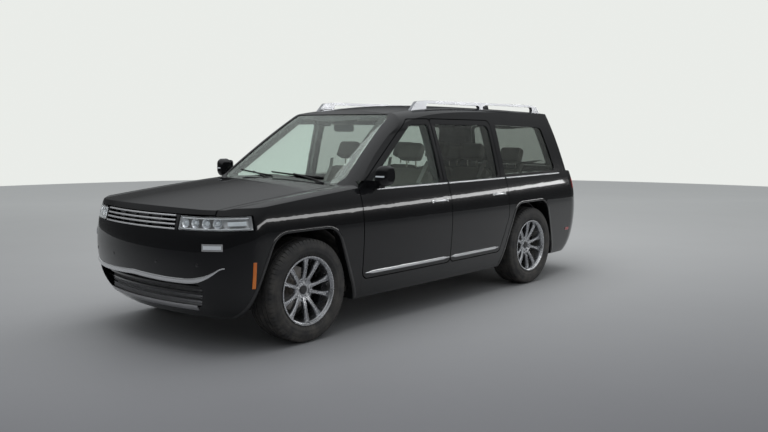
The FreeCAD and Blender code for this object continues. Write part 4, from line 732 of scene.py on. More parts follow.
class StageDesign(bpy.types.PropertyGroup):
    """Floor, light and camera."""

    floor_radius: bpy.props.FloatProperty(
        name="Floor radius", description="Reach of the floor round the vehicle", subtype="DISTANCE",
        unit="LENGTH", default=17.0, min=5.0)
    floor_colour: bpy.props.FloatVectorProperty(
        name="Floor", description="Colour of the floor by the wall", subtype="COLOR", size=3, min=0, max=1,
        default=(0.6, 0.61, 0.605))
    # Painted shade: this colour darkens the floor towards the front left, where the camera stands.
    floor_painted_shade: bpy.props.FloatVectorProperty(
        name="Near floor", description="What the floor's colour is taken down by towards the front left",
        size=3, subtype="COLOR", min=0, max=1, default=(0.24, 0.24, 0.26))
    camera_place: bpy.props.FloatVectorProperty(
        name="Camera", description="Where the camera stands", subtype="TRANSLATION", unit="LENGTH", size=3,
        default=(5.84, 5.33, 1.61))
    camera_yaw: bpy.props.FloatProperty(
        name="Yaw", description="Direction of view from +X towards +Y", subtype="ANGLE", unit="ROTATION",
        default=math.radians(-138.5))
    camera_pitch: bpy.props.FloatProperty(
        name="Pitch", description="Direction of view above the horizon", subtype="ANGLE", unit="ROTATION",
        default=math.radians(-6.33))
    focal_length: bpy.props.FloatProperty(
        name="Focal length", description="Lens of the camera on a 36 mm sensor", subtype="DISTANCE_CAMERA",
        default=38.6, min=10.0)
    sky: bpy.props.FloatProperty(
        name="Sky", description="Level of the light from all round", default=0.75, min=0.0)
    key: bpy.props.FloatProperty(
        name="Key light", description="Power of the overhead light", subtype="POWER", unit="POWER",
        default=420.0, min=0.0)


def design():
    return bpy.context.scene.vehicle_design


def stage_design():
    return bpy.context.scene.vehicle_stage


# Operators


class VEHICLE_OT_stage(bpy.types.Operator):
    """Sets the floor, the light and the camera."""

    bl_idname = "vehicle.stage"
    bl_label = "Stage"

    def execute(self, context):
        settings = stage_design()
        add_floor(settings)
        add_world(settings)
        add_lights(settings)
        add_camera(settings)
        context.scene.view_settings.view_transform = "Standard"
        return {"FINISHED"}


def add_floor(settings):
    """A round floor, out to where the wall would stand, with painted shade towards the front left."""
    turn = np.linspace(0, 2 * math.pi, 96, endpoint=False)
    radii = np.array([0.02, 4.0, settings.floor_radius])
    points = np.stack([radii[:, None] * np.cos(turn), radii[:, None] * np.sin(turn), np.zeros((3, 96))], -1)
    shape = grid(points, around=True)
    shape.others.append(list(range(96)))
    mesh = bpy.data.meshes.new("floor")
    mesh.from_pydata(shape.points.tolist(), [], shape.quads[:, ::-1].tolist() + shape.others)
    mesh.update()
    item = bpy.data.objects.new("floor", mesh)
    bpy.context.scene.collection.objects.link(item)
    colour = tuple(settings.floor_colour)
    material = finish("Floor", colour, 0.5, second=tuple(c * 0.97 for c in colour), spread=0.1, patch=0.8,
                      grain=60.0, depth=0.0003)
    tree = material.node_tree
    shader = next(n for n in tree.nodes if n.type == "BSDF_PRINCIPLED")
    plain = shader.inputs["Base Color"].links[0].from_socket
    place = put(tree, "ShaderNodeTexCoord").outputs["Object"]
    # Painted shade: the floor's colour is taken down along the diagonal towards the front left.
    along = put(tree, "ShaderNodeVectorMath", operation="DOT_PRODUCT", _0=place, _1=(0.707, 0.707, 0.0))
    share = ramp(tree, along.outputs["Value"], -9.0, 4.0)
    tint = mix_colour(tree, share, (1.0, 1.0, 1.0, 1), tuple(settings.floor_painted_shade) + (1,))
    mixed = put(tree, "ShaderNodeMix", data_type="RGBA", blend_type="MULTIPLY")
    mixed.inputs[0].default_value = 1.0
    tree.links.new(plain, mixed.inputs[6])
    tree.links.new(tint, mixed.inputs[7])
    tree.links.new(mixed.outputs[2], shader.inputs["Base Color"])
    mesh.materials.append(material)


def add_world(settings):
    """Light from all round that is stronger from above; the camera, and glass, see a plain pale wall. The
    light falls off quickly towards the horizon, so that upright gloss stays dark."""
    world = bpy.data.worlds.new("Studio")
    world.use_nodes = True
    bpy.context.scene.world = world
    tree = world.node_tree
    tree.nodes.clear()
    direction = put(tree, "ShaderNodeTexCoord").outputs["Generated"]
    height = put(tree, "ShaderNodeSeparateXYZ", Vector=direction).outputs["Z"]
    path = put(tree, "ShaderNodeLightPath")
    soft = maths(tree, "ADD", maths(tree, "MULTIPLY", ramp(tree, height, -0.1, 0.75), 0.75), 0.25)
    mirrored_light = maths(tree, "ADD", maths(tree, "MULTIPLY", ramp(tree, height, 0.15, 0.95), 1.0), 0.07)
    level = put(tree, "ShaderNodeMix", data_type="FLOAT")
    for number, value in ((0, path.outputs["Is Glossy Ray"]), (2, soft), (3, mirrored_light)):
        tree.links.new(value, level.inputs[number])
    level = maths(tree, "MULTIPLY", level.outputs[0], settings.sky)
    seen = maths(tree, "MAXIMUM", path.outputs["Is Camera Ray"], path.outputs["Is Transmission Ray"])
    light = put(tree, "ShaderNodeBackground", Color=(0.96, 0.985, 1.0, 1), Strength=level)
    plain = put(tree, "ShaderNodeBackground", Color=(0.82, 0.84, 0.81, 1), Strength=1.0)
    mixed = put(tree, "ShaderNodeMixShader", Fac=seen, _1=light.outputs[0], _2=plain.outputs[0])
    out = tree.nodes.new("ShaderNodeOutputWorld")
    tree.links.new(mixed.outputs[0], out.inputs["Surface"])


def add_lights(settings):
    """A wide soft light overhead, which gloss doesn't show, and a long strip on the far left, which draws
    the line along the shoulder."""
    for name, place, size, share, aim in (
            ("overhead", (0.0, 0.0, 6.0), (9.0, 4.5), 1.0, (0, 0, 0)),
            ("strip", (-5.5, 8.0, 2.4), (12.0, 0.5), 0.3, (0, 0.9, 0.9))):
        lamp = bpy.data.lights.new(name, "AREA")
        lamp.shape = "RECTANGLE"
        lamp.size, lamp.size_y = size
        lamp.energy = settings.key * share
        item = bpy.data.objects.new(name, lamp)
        bpy.context.scene.collection.objects.link(item)
        item.location = place
        item.visible_glossy = name == "strip"
        item.rotation_euler = (Vector(aim) - Vector(place)).to_track_quat("-Z", "Y").to_euler()


def add_camera(settings):
    camera = bpy.data.cameras.new("camera")
    camera.lens = settings.focal_length
    camera.sensor_width = 36.0
    item = bpy.data.objects.new("camera", camera)
    bpy.context.scene.collection.objects.link(item)
    item.location = settings.camera_place
    item.rotation_euler = (math.pi / 2 + settings.camera_pitch, 0.0, settings.camera_yaw - math.pi / 2)
    bpy.context.scene.camera = item


class VEHICLE_OT_finishes(bpy.types.Operator):
    """Makes the finishes and gives every node of the frame its own."""

    bl_idname = "vehicle.finishes"
    bl_label = "Finishes"

    def execute(self, context):
        build_groups()
        build_finishes(design())
        dress_nodes()
        return {"FINISHED"}


# Wheels: all is made at the origin, axle along Y and outer face towards +Y, and then set in place

TREAD_PITCHES = 66
SPOKE_ANGLES = [math.radians(54 + 72 * i + turn) for i in range(5) for turn in (-15.3, 15.3)]


def tyre_shape(radius, width):
    """Tyre: a half section (across, radius) mirrored, turned round the axle. In the tread, the radius
    drops in four grooves round the tyre, in slanted grooves across its shoulders and ribs, and in
    fine cuts between them."""
    half = width / 2
    side = [(half - 0.0204, radius - 0.1385), (half - 0.0195, radius - 0.1265),
            (half - 0.0105, radius - 0.1135), (half - 0.0085, radius - 0.1085),
            (half - 0.0028, radius - 0.0985), (half - 0.0011, radius - 0.0885),
            (half - 0.0016, radius - 0.0865), (half - 0.0003, radius - 0.0715), (half, radius - 0.0635),
            (half - 0.0011, radius - 0.0605), (half - 0.0028, radius - 0.0455),
            (half - 0.0045, radius - 0.0435), (half - 0.0074, radius - 0.0305),
            (half - 0.0125, radius - 0.0175), (half - 0.0195, radius - 0.0078)]
    edges = [0.1075]
    for groove in (0.0705, 0.0275):
        edges += [groove + 0.0055, groove + 0.0043, groove - 0.0043, groove - 0.0055]
        edges.append(groove - 0.0215 if groove > 0.05 else 0.0)
    tread = [(a, radius - 0.0052 * (a / half) ** 2 - 0.0012 * (a > 0.1)) for a in edges]
    line = np.array(side + tread)
    line = np.vstack([line, (line[-2::-1] * np.array([-1, 1]))])
    across, level = line[:, 0], line[:, 1]
    share = np.array([0.0, 0.025, 0.19, 0.215, 0.34, 0.36, 0.38, 0.6, 0.62, 0.64, 0.82])
    pitch = (np.arange(TREAD_PITCHES)[:, None] + share[None]).ravel()
    phase = np.tile(share, TREAD_PITCHES)
    over_half = across / half
    slant = 0.9 * over_half - 0.5 * over_half ** 3 + 0.35 * np.sign(across) * (np.abs(across) > 0.03)
    angle = 2 * math.pi * (pitch[:, None] + slant[None]) / TREAD_PITCHES
    a = np.abs(across)
    round_groove = (np.abs(a - 0.0705) < 0.005) | (np.abs(a - 0.0275) < 0.005)
    shoulder = np.clip((a - 0.077) / 0.002, 0, 1) * np.clip((half - 0.004 - a) / 0.012, 0, 1)
    rib = ((a > 0.034) & (a < 0.064)).astype(float)
    wide = ((phase > 0.02) & (phase < 0.2))[:, None]
    fine = (np.isin(phase, (0.36, 0.62)))[:, None]
    depth = wide * (0.0062 * shoulder + 0.0035 * rib)[None]
    depth = np.maximum(depth, fine * (0.0032 * (a < 0.1))[None])
    depth = np.where(round_groove[None], 0.0074, depth)
    r = level[None] - depth
    points = np.stack([r * np.cos(angle), np.broadcast_to(across, r.shape), r * np.sin(angle)], -1)
    return outward(grid(points, around=True, along=True))


def spoke_shape(angle):
    """One spoke: a section with bevelled shoulders and a shallow channel, carried from the hub out to the
    rim along a line that bows outwards; its width narrows in the middle and flares at both ends."""
    t = np.linspace(0, 1, 18)
    r = 0.058 + t * 0.182
    front = 0.0575 + 0.0295 * t + 0.006 * np.sin(math.pi * t)
    back = 0.036 + 0.0165 * t
    half = 0.0155 + 0.004 * (2 * t - 1) ** 2 + 0.0065 * t ** 3 + 0.006 * np.clip((t - 0.85) / 0.15, 0, 1) ** 2
    section = [(-1.0, 0.0), (-1.0, 0.55), (-0.86, 0.86), (-0.62, 1.0), (-0.4, 1.0), (-0.3, 0.86), (0.3, 0.86),
               (0.4, 1.0), (0.62, 1.0), (0.86, 0.86), (1.0, 0.55), (1.0, 0.0)]
    section = np.array(section)
    side = section[None, :, 0] * half[:, None]
    height = back[:, None] + (front - back)[:, None] * section[None, :, 1]
    c, s = math.cos(angle), math.sin(angle)
    points = np.stack([r[:, None] * s + side * c, height, r[:, None] * c - side * s], -1)
    return outward(grid(points, around=True, ends=True))


def rim_shape():
    """The rim: a closed section with rounded flanges and a stepped outer lip, turned round the axle."""
    section = [(0.1215, 0.2575), (0.1195, 0.259), (0.1135, 0.259), (0.1125, 0.2575), (0.1125, 0.2497),
               (0.098, 0.2488), (0.088, 0.245), (0.05, 0.2425), (-0.05, 0.2425), (-0.088, 0.245),
               (-0.098, 0.2488), (-0.1125, 0.2497), (-0.1125, 0.2575), (-0.1135, 0.259), (-0.1195, 0.259),
               (-0.1215, 0.2575), (-0.1215, 0.238), (-0.11, 0.2345), (-0.04, 0.2325), (0.052, 0.2325),
               (0.086, 0.2335), (0.096, 0.2352), (0.1, 0.2358), (0.104, 0.2395), (0.1145, 0.2425),
               (0.1165, 0.247), (0.1212, 0.2495)]
    return spun(section, (0, 0, 0), steps=112, closed=True)


def hub_shape():
    """The hub: a dished face with a raised ring round the nuts, closed at the back."""
    profile = [(0.016, 0.0), (0.016, 0.066), (0.0345, 0.086), (0.05, 0.0905), (0.058, 0.089), (0.061, 0.083),
               (0.0585, 0.078), (0.0505, 0.074), (0.0495, 0.04), (0.053, 0.036), (0.0535, 0.0)]
    return spun(profile, (0, 0, 0), steps=60)


def nut_shapes():
    """Five six-sided nuts with domed ends in a ring round the hub."""
    nuts = []
    for i in range(5):
        angle = math.radians(90 + 72 * i)
        centre = np.array([0.0572 * math.cos(angle), 0.0, 0.0572 * math.sin(angle)])
        nuts.append(spun([(0.046, 0.0), (0.046, 0.0108), (0.0485, 0.0108), (0.0515, 0.0098), (0.0615, 0.0096),
                          (0.0642, 0.006), (0.065, 0.0)], centre, steps=6))
        nuts.append(spun([(0.0462, 0.0125), (0.0478, 0.0165), (0.0506, 0.0165), (0.0506, 0.0125)], centre,
                         steps=24, closed=True))
    return joined(nuts)


def cap_shape():
    """Centre cap: a shallow dome with a rounded edge and one ring pressed into it."""
    profile = [(0.05, 0.0), (0.05, 0.031), (0.0575, 0.0335), (0.0592, 0.0325), (0.0598, 0.029),
               (0.0588, 0.0275), (0.0588, 0.026), (0.0602, 0.0245), (0.0612, 0.012), (0.0615, 0.0)]
    return spun(profile, (0, 0, 0), steps=48)


def disc_shape():
    """Ventilated brake disc: two cheeks with vanes between them, and the bell that carries them."""
    cheeks = [spun([(low, 0.068), (low, 0.1635), (low + 0.001, 0.165), (high - 0.001, 0.165), (high, 0.1635),
                    (high, 0.068)], (0, 0, 0), steps=96, closed=True)
              for low, high in ((-0.072, -0.0645), (-0.0575, -0.05))]
    bell = spun([(-0.0775, 0.0), (-0.0775, 0.056), (-0.0715, 0.0675), (-0.0505, 0.0675), (-0.0495, 0.06),
                 (0.0155, 0.0585), (0.0155, 0.0)], (0, 0, 0), steps=60)
    vanes = []
    for i in range(40):
        t = np.linspace(0, 1, 2)
        r, angle = 0.078 + 0.084 * t, 2 * math.pi * i / 40 + 0.22 * t
        path = np.stack([r * np.cos(angle), np.full(2, -0.061), r * np.sin(angle)], -1)
        vanes.append(swept([(-0.0014, -0.0038), (0.0014, -0.0038), (0.0014, 0.0038), (-0.0014, 0.0038)], path,
                           (0, 1, 0)))
    return joined(cheeks + [bell] + vanes)


def caliper_shape(middle, spread):
    """Caliper: a section that straddles the disc, carried along an arc round the axle, smaller towards its
    ends, with two piston bosses on its outer face."""
    angle = np.radians(np.linspace(middle - spread, middle + spread, 15))
    ease = np.sin(np.linspace(0.06, 1, 15)[::1] * math.pi * 0.94) ** 0.3
    path = np.stack([0.15 * np.cos(angle), np.full(15, -0.061), 0.15 * np.sin(angle)], -1)
    radial = np.stack([np.cos(angle), np.zeros(15), np.sin(angle)], -1)
    section = np.array([(-0.031, -0.036), (-0.014, -0.036), (-0.0135, 0.019), (0.0135, 0.019),
                        (0.014, -0.036), (0.029, -0.036), (0.033, -0.028), (0.033, 0.03), (0.026, 0.041),
                        (-0.026, 0.041), (-0.035, 0.03), (-0.035, -0.028)])
    body = swept(section, path, radial, scale=np.stack([0.62 + 0.38 * ease, 0.8 + 0.2 * ease], -1))
    bosses = []
    for turn in (-0.45, 0.45):
        at = math.radians(middle + turn * spread)
        bosses.append(spun([(-0.029, 0.0), (-0.029, 0.021), (-0.0255, 0.019), (-0.0245, 0.012),
                            (-0.0245, 0.0)],
                           (0.137 * math.cos(at), 0.0, 0.137 * math.sin(at)), steps=24))
    return joined([body] + bosses)


class VEHICLE_OT_wheels(bpy.types.Operator):
    """Tyres with their tread, spoked alloy wheels, nuts, caps, brake discs and calipers."""

    bl_idname = "vehicle.wheels"
    bl_label = "Wheels"

    def execute(self, context):
        alloy = joined([rim_shape(), hub_shape()] + [spoke_shape(angle) for angle in SPOKE_ANGLES])
        nuts, cap, disc = nut_shapes(), cap_shape(), disc_shape()
        calipers = {"front": caliper_shape(200, 27), "rear": caliper_shape(-20, 22)}
        for end in ENDS:
            for side, sign in SIDES:
                centre, radius, width = tyre_place(end, side)
                body = f"{end}_wheel_{side}"
                carrier = f"knuckle_{side}" if end == "front" else "body"

                def here(shape):
                    shape = shape if sign > 0 else shape.mirrored()
                    return shape.moved(*centre)

                add_piece(f"{end}_tyre_tread_{side}", here(tyre_shape(radius, width)), body,
                          FINISH["rubber"], [f"{end}_tyre_{side}"], 35)
                add_piece(f"{end}_alloy_{side}", here(alloy), body, FINISH["alloy"],
                          [f"{end}_wheel_{side}"], 32)
                add_piece(f"{end}_nuts_{side}", here(nuts), body, FINISH["chrome"], smooth=20)
                add_piece(f"{end}_cap_{side}", here(cap), body, FINISH["pocket"], smooth=25)
                add_piece(f"{end}_disc_{side}", here(disc), body, FINISH["disc"], smooth=30)
                add_piece(f"{end}_caliper_{side}", here(calipers[end]), carrier,
                          FINISH["caliper"], smooth=35)
        return {"FINISHED"}


# Lamps

LAMP_PIVOT = (2.19, 0.47)
LAMP_ANGLES = np.linspace(1.5, 88, 34)


def lamp_housing(points, normals, inner):
    """Tray behind a lens: its floor lies under the lens by a depth that goes to nothing at the rim, so
    that the lens closes it."""
    rows, columns = points.shape[:2]
    u = np.sin(np.linspace(0, math.pi, rows)) ** 0.25
    v = np.sin(np.linspace(0, math.pi, columns)) ** 0.18
    depth = 0.0035 + (inner - 0.0035) * u[:, None] * v[None]
    return shell(points - normals * depth[..., None], normals, 0.0, -0.0015)


def on_lens(points, normals, row, column, depth):
    """Place under a lens, with the outward direction there; row and column run from 0 to 1."""
    i, j = int(round(row * (points.shape[0] - 1))), int(round(column * (points.shape[1] - 1)))
    out = unit(normals[i, j] * np.array([1, 1, 0.2]))
    return points[i, j] - out * depth, out


class VEHICLE_OT_lamps(bpy.types.Operator):
    """Head lamps, tail lamps, fog lamp strips and side markers, each with what stands behind its lens."""

    bl_idname = "vehicle.lamps"
    bl_label = "Lamps"

    def execute(self, context):
        points, normals = round_skin(LAMP_PIVOT, LAMP_ANGLES, 0.878, 1.0, ["head_lamps"], rows=9, edge=0.0015)
        both("head_lamp_lens", shell(points, normals, 0.0, -0.0028), "body",
             FINISH["lens"], smooth=40)
        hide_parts("head_lamps")
        both("head_lamp_housing", lamp_housing(points, normals, 0.052), "body",
             FINISH["silver"], smooth=40)
        bowls, eyes, guides = [], [], []
        for column in (0.1, 0.27, 0.44, 0.6):
            place, out = on_lens(points, normals, 0.56, column, 0.038)
            bowls.append(spun([(0.0, 0.0), (0.0, 0.015), (0.012, 0.026), (0.024, 0.031), (0.026, 0.033),
                               (0.021, 0.0335), (-0.002, 0.02), (-0.004, 0.0)], place, out, 36))
            eyes.append(spun([(0.004, 0.0), (0.004, 0.017), (0.012, 0.0165), (0.019, 0.0125), (0.0225, 0.006),
                              (0.0232, 0.0)], place, out, 28))
        both("head_lamp_bowls", joined(bowls), "body", FINISH["chrome"], smooth=35)
        both("head_lamp_eyes", joined(eyes), "body", FINISH["clear"], smooth=50)
        for row in (0.1, 0.93):
            i = int(round(row * 8))
            line = points[i, 1:-1] - normals[i, 1:-1] * 0.009
            guides.append(swept(ellipse(0.009, 0.007, 10), line, normals[i, 1:-1]))
        both("day_running_guides", joined(guides), "body", FINISH["guide"], smooth=50)
        line = points[4, 24:-2] - normals[4, 24:-2] * 0.013
        both("front_indicator", swept(rounded_rectangle(0.03, 0.006, 0.002), line, normals[4, 24:-2]), "body",
             FINISH["clear"], smooth=40)

        low, high = node_box("tail_lamps")
        pivot, angles = (float(high[0]), 0.652), np.linspace(92, 178.5, 26)
        points, normals = round_skin(pivot, angles, low[2], high[2], ["tail_lamps"], rows=9, edge=0.0015)
        both("tail_lamp_lens", shell(points, normals, 0.0, -0.003), "body", FINISH["red_glass"],
             smooth=40)
        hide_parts("tail_lamps")
        both("tail_lamp_housing", lamp_housing(points, normals, 0.045), "body",
             FINISH["red"], smooth=40)
        rings = []
        for low_row, high_row in ((1, 3), (5, 7)):
            loop = np.vstack([points[low_row, 2:-3], points[high_row, -3:1:-1]])
            out = np.vstack([normals[low_row, 2:-3], normals[high_row, -3:1:-1]])
            loop = loop - out * 0.011
            rings.append(swept(ellipse(0.008, 0.006, 8), loop, out, closed=True))
        both("tail_lamp_guides", joined(rings), "body", FINISH["red_light"], smooth=50)
        place, out = on_lens(points, normals, 0.5, 0.8, 0.03)
        both("reversing_lamp", spun([(0.0, 0.0), (0.0, 0.017), (0.01, 0.022), (0.018, 0.024), (0.018, 0.021),
                                     (0.006, 0.012), (0.004, 0.0)], place, out, 32), "body",
             FINISH["chrome"], smooth=35)

        points, normals = side_skin(np.broadcast_to(np.linspace(2.186, 2.212, 4), (9, 4)),
                                    np.broadcast_to(np.linspace(0.468, 0.655, 9)[:, None], (9, 4)),
                                    ["front_bumper"])
        both("front_side_marker", shell(points, normals, 0.0035, -0.002), "body",
             FINISH["amber"], smooth=40)
        points, normals = side_skin(np.broadcast_to(np.linspace(-2.21, -2.13, 8), (4, 8)),
                                    np.broadcast_to(np.linspace(0.47, 0.5, 4)[:, None], (4, 8)),
                                    ["rear_bumper"])
        both("rear_side_marker", shell(points, normals, 0.003, -0.002), "body",
             FINISH["red"], smooth=40)
        points, normals = round_skin((1.6, 0.0), np.linspace(38, 45.5, 16), 0.745, 0.795,
                                     ["front_bumper"], rows=5)
        both("fog_strip_frame", shell(points, normals, 0.003, -0.004), "body",
             FINISH["chrome"], smooth=40)
        both("fog_strip", shell(points[1:4, 1:-1], normals[1:4, 1:-1], 0.0048, 0.001), "body",
             FINISH["clear"], smooth=40)
        points, normals = round_skin((-1.6, 0.0), np.linspace(146, 160, 12), 0.452, 0.478,
                                     ["rear_bumper"], rows=4)
        both("rear_reflector", shell(points, normals, 0.003, -0.002), "body",
             FINISH["red"], smooth=40)
        return {"FINISHED"}

# Front and side trim

FRONT_PIVOT = (1.6, 0.0)


def fins(line, normals, low, high, depth, count, width=0.0016, length=0.012):
    """Upright fins side by side behind an opening: evenly spaced places on a path, moved in along its
    normals."""
    at = resampled(line - normals * depth, count)
    centres = np.stack([at[:, 0], at[:, 1], np.full(count, (low + high) / 2)], -1)
    return blocks(centres, (length, width, high - low))


class VEHICLE_OT_front_trim(bpy.types.Operator):
    """Grille bars and mesh, bumper mouldings, intake mesh and parking sensors."""

    bl_idname = "vehicle.front_trim"
    bl_label = "Front trim"

    def execute(self, context):
        angle = np.degrees(np.arctan2(np.linspace(-0.455, 0.455, 41), 0.95))
        bars = []
        for z, width in ((0.9175, 0.013), (0.9465, 0.013)):
            line, out = round_path(FRONT_PIVOT, angle, z, ["grille"])
            bars.append(swept(strip_profile(width, 0.0045), line, out))
        for z in (0.8865, 0.9775):
            line, out = round_path(FRONT_PIVOT, angle, z, ["grille"])
            bars.append(swept(strip_profile(0.0115, 0.005), line, out))
        add_piece("grille_bars", joined(bars), "body", FINISH["chrome"], smooth=40)
        line, out = round_path(FRONT_PIVOT, angle, 0.931, ["grille"])
        mesh = fins(line, out, 0.889, 0.975, 0.03, 92)
        rails = [swept(rounded_rectangle(0.002, 0.01, 0.0008, 2), np.stack([line[:, 0] - 0.03, line[:, 1],
                       np.full(len(line), z)], -1), (0, 0, 1)) for z in np.linspace(0.893, 0.972, 9)]
        add_piece("grille_mesh", joined([mesh] + rails), "body", FINISH["silver"], smooth=25)

        angle = np.linspace(-46, 46, 93)
        y = np.abs(np.tan(np.radians(angle)) * 0.9)
        dip = 0.016 * np.sin(np.clip(y / 0.9, 0, 1) * math.pi)
        z = 0.541 - dip + 0.085 * np.clip((y - 0.52) / 0.36, 0, 1) ** 2
        line, out = round_path(FRONT_PIVOT, angle, z, ["front_bumper"])
        taper = np.clip(np.minimum(np.arange(93), np.arange(93)[::-1]) / 10, 0.25, 1)
        add_piece("bumper_lip",
                  swept(strip_profile(0.038, 0.01), line, out, scale=np.stack([taper, taper], -1)),
                  "body", FINISH["chrome"], smooth=40)
        line, out = round_path(FRONT_PIVOT, np.linspace(-34, 34, 41), 0.318, ["front_bumper"])
        add_piece("bumper_chin", swept(strip_profile(0.05, 0.007), line, out), "body",
                  FINISH["silver"], smooth=40)
        line, out = round_path(FRONT_PIVOT, np.linspace(-33, 33, 41), 0.53, ["front_bumper"])
        mesh = fins(line, out, 0.335, 0.515, 0.1, 110)
        rails = [swept(rounded_rectangle(0.0018, 0.012, 0.0008, 2), np.stack([line[:, 0] - 0.1, line[:, 1],
                       np.full(len(line), z)], -1), (0, 0, 1)) for z in np.linspace(0.345, 0.505, 9)]
        add_piece("intake_mesh", joined([mesh] + rails), "body", FINISH["silver"], smooth=25)
        sensors = []
        for turn in (-36, -16, 16, 36):
            place, out = round_path(FRONT_PIVOT, [turn - 1, turn, turn + 1], 0.645, ["front_bumper"])
            sensors.append(spun([(-0.004, 0.0), (-0.004, 0.0125), (0.0008, 0.0125), (0.0014, 0.0112),
                                 (0.0006, 0.0098), (0.0016, 0.008), (0.002, 0.0)], place[1], out[1], 24))
        for turn in (146, 166, 194, 214):
            place, out = round_path((-1.6, 0.0), [turn - 1, turn, turn + 1], 0.545, ["rear_bumper"])
            sensors.append(spun([(-0.004, 0.0), (-0.004, 0.0125), (0.0008, 0.0125), (0.0014, 0.0112),
                                 (0.0006, 0.0098), (0.0016, 0.008), (0.002, 0.0)], place[1], out[1], 24))
        add_piece("parking_sensors", joined(sensors), "body", FINISH["black"], smooth=30)
        return {"FINISHED"}


ARCH_HALF_BASE, ARCH_HALF_TOP, ARCH_TOP = 0.52, 0.29, 0.833


def arch_line(x, margin):
    """The wheel arch's outline from foot to foot, moved outwards by a margin."""
    base, top, z = ARCH_HALF_BASE + margin * 0.95, ARCH_HALF_TOP + margin * 0.66, ARCH_TOP + margin
    corners = [(x - base, 0.247), (x - base, 0.262), (x - top, z), (x + top, z), (x + base, 0.262),
               (x + base, 0.247)]
    return resampled(rounded_path(corners, (0.03, 0.15 + margin, 0.15 + margin, 0.03), 10), 72)


def door_handle(x0, x1, z, names):
    """Strap handle on a bowed line off the skin, thicker in its middle, with a foot at each end, and the
    cup plate behind it."""
    t = np.linspace(0, 1, 17)
    line, out = side_skin(x0 + (x1 - x0) * t, np.full(17, z), names)
    lift = 0.0035 + 0.026 * np.sin(math.pi * t) ** 0.45
    strap = swept(ellipse(0.019, 0.0085, 14, 2.8), line + out * lift[:, None], out,
                  scale=np.stack([0.72 + 0.28 * np.sin(math.pi * t) ** 0.5,
                                  0.8 + 0.4 * np.sin(math.pi * t)], -1))
    feet = []
    for i in (0, -1):
        feet.append(swept(ellipse(0.026, 0.018, 14, 2.6),
                          np.stack([line[i] - out[i] * 0.002, line[i] + out[i] * 0.006]),
                          (1, 0, 0)))
    outline = rounded_rectangle(0.115, 0.042, 0.02, 5)
    points, normals = rounded_patch(((x0 + x1) / 2, 2.0, z), outline, (1, 0, 0), (0, 0, 1), (0, -1, 0), names)
    return joined([strap] + feet), shell(points, normals, 0.0012, -0.002, around=True)


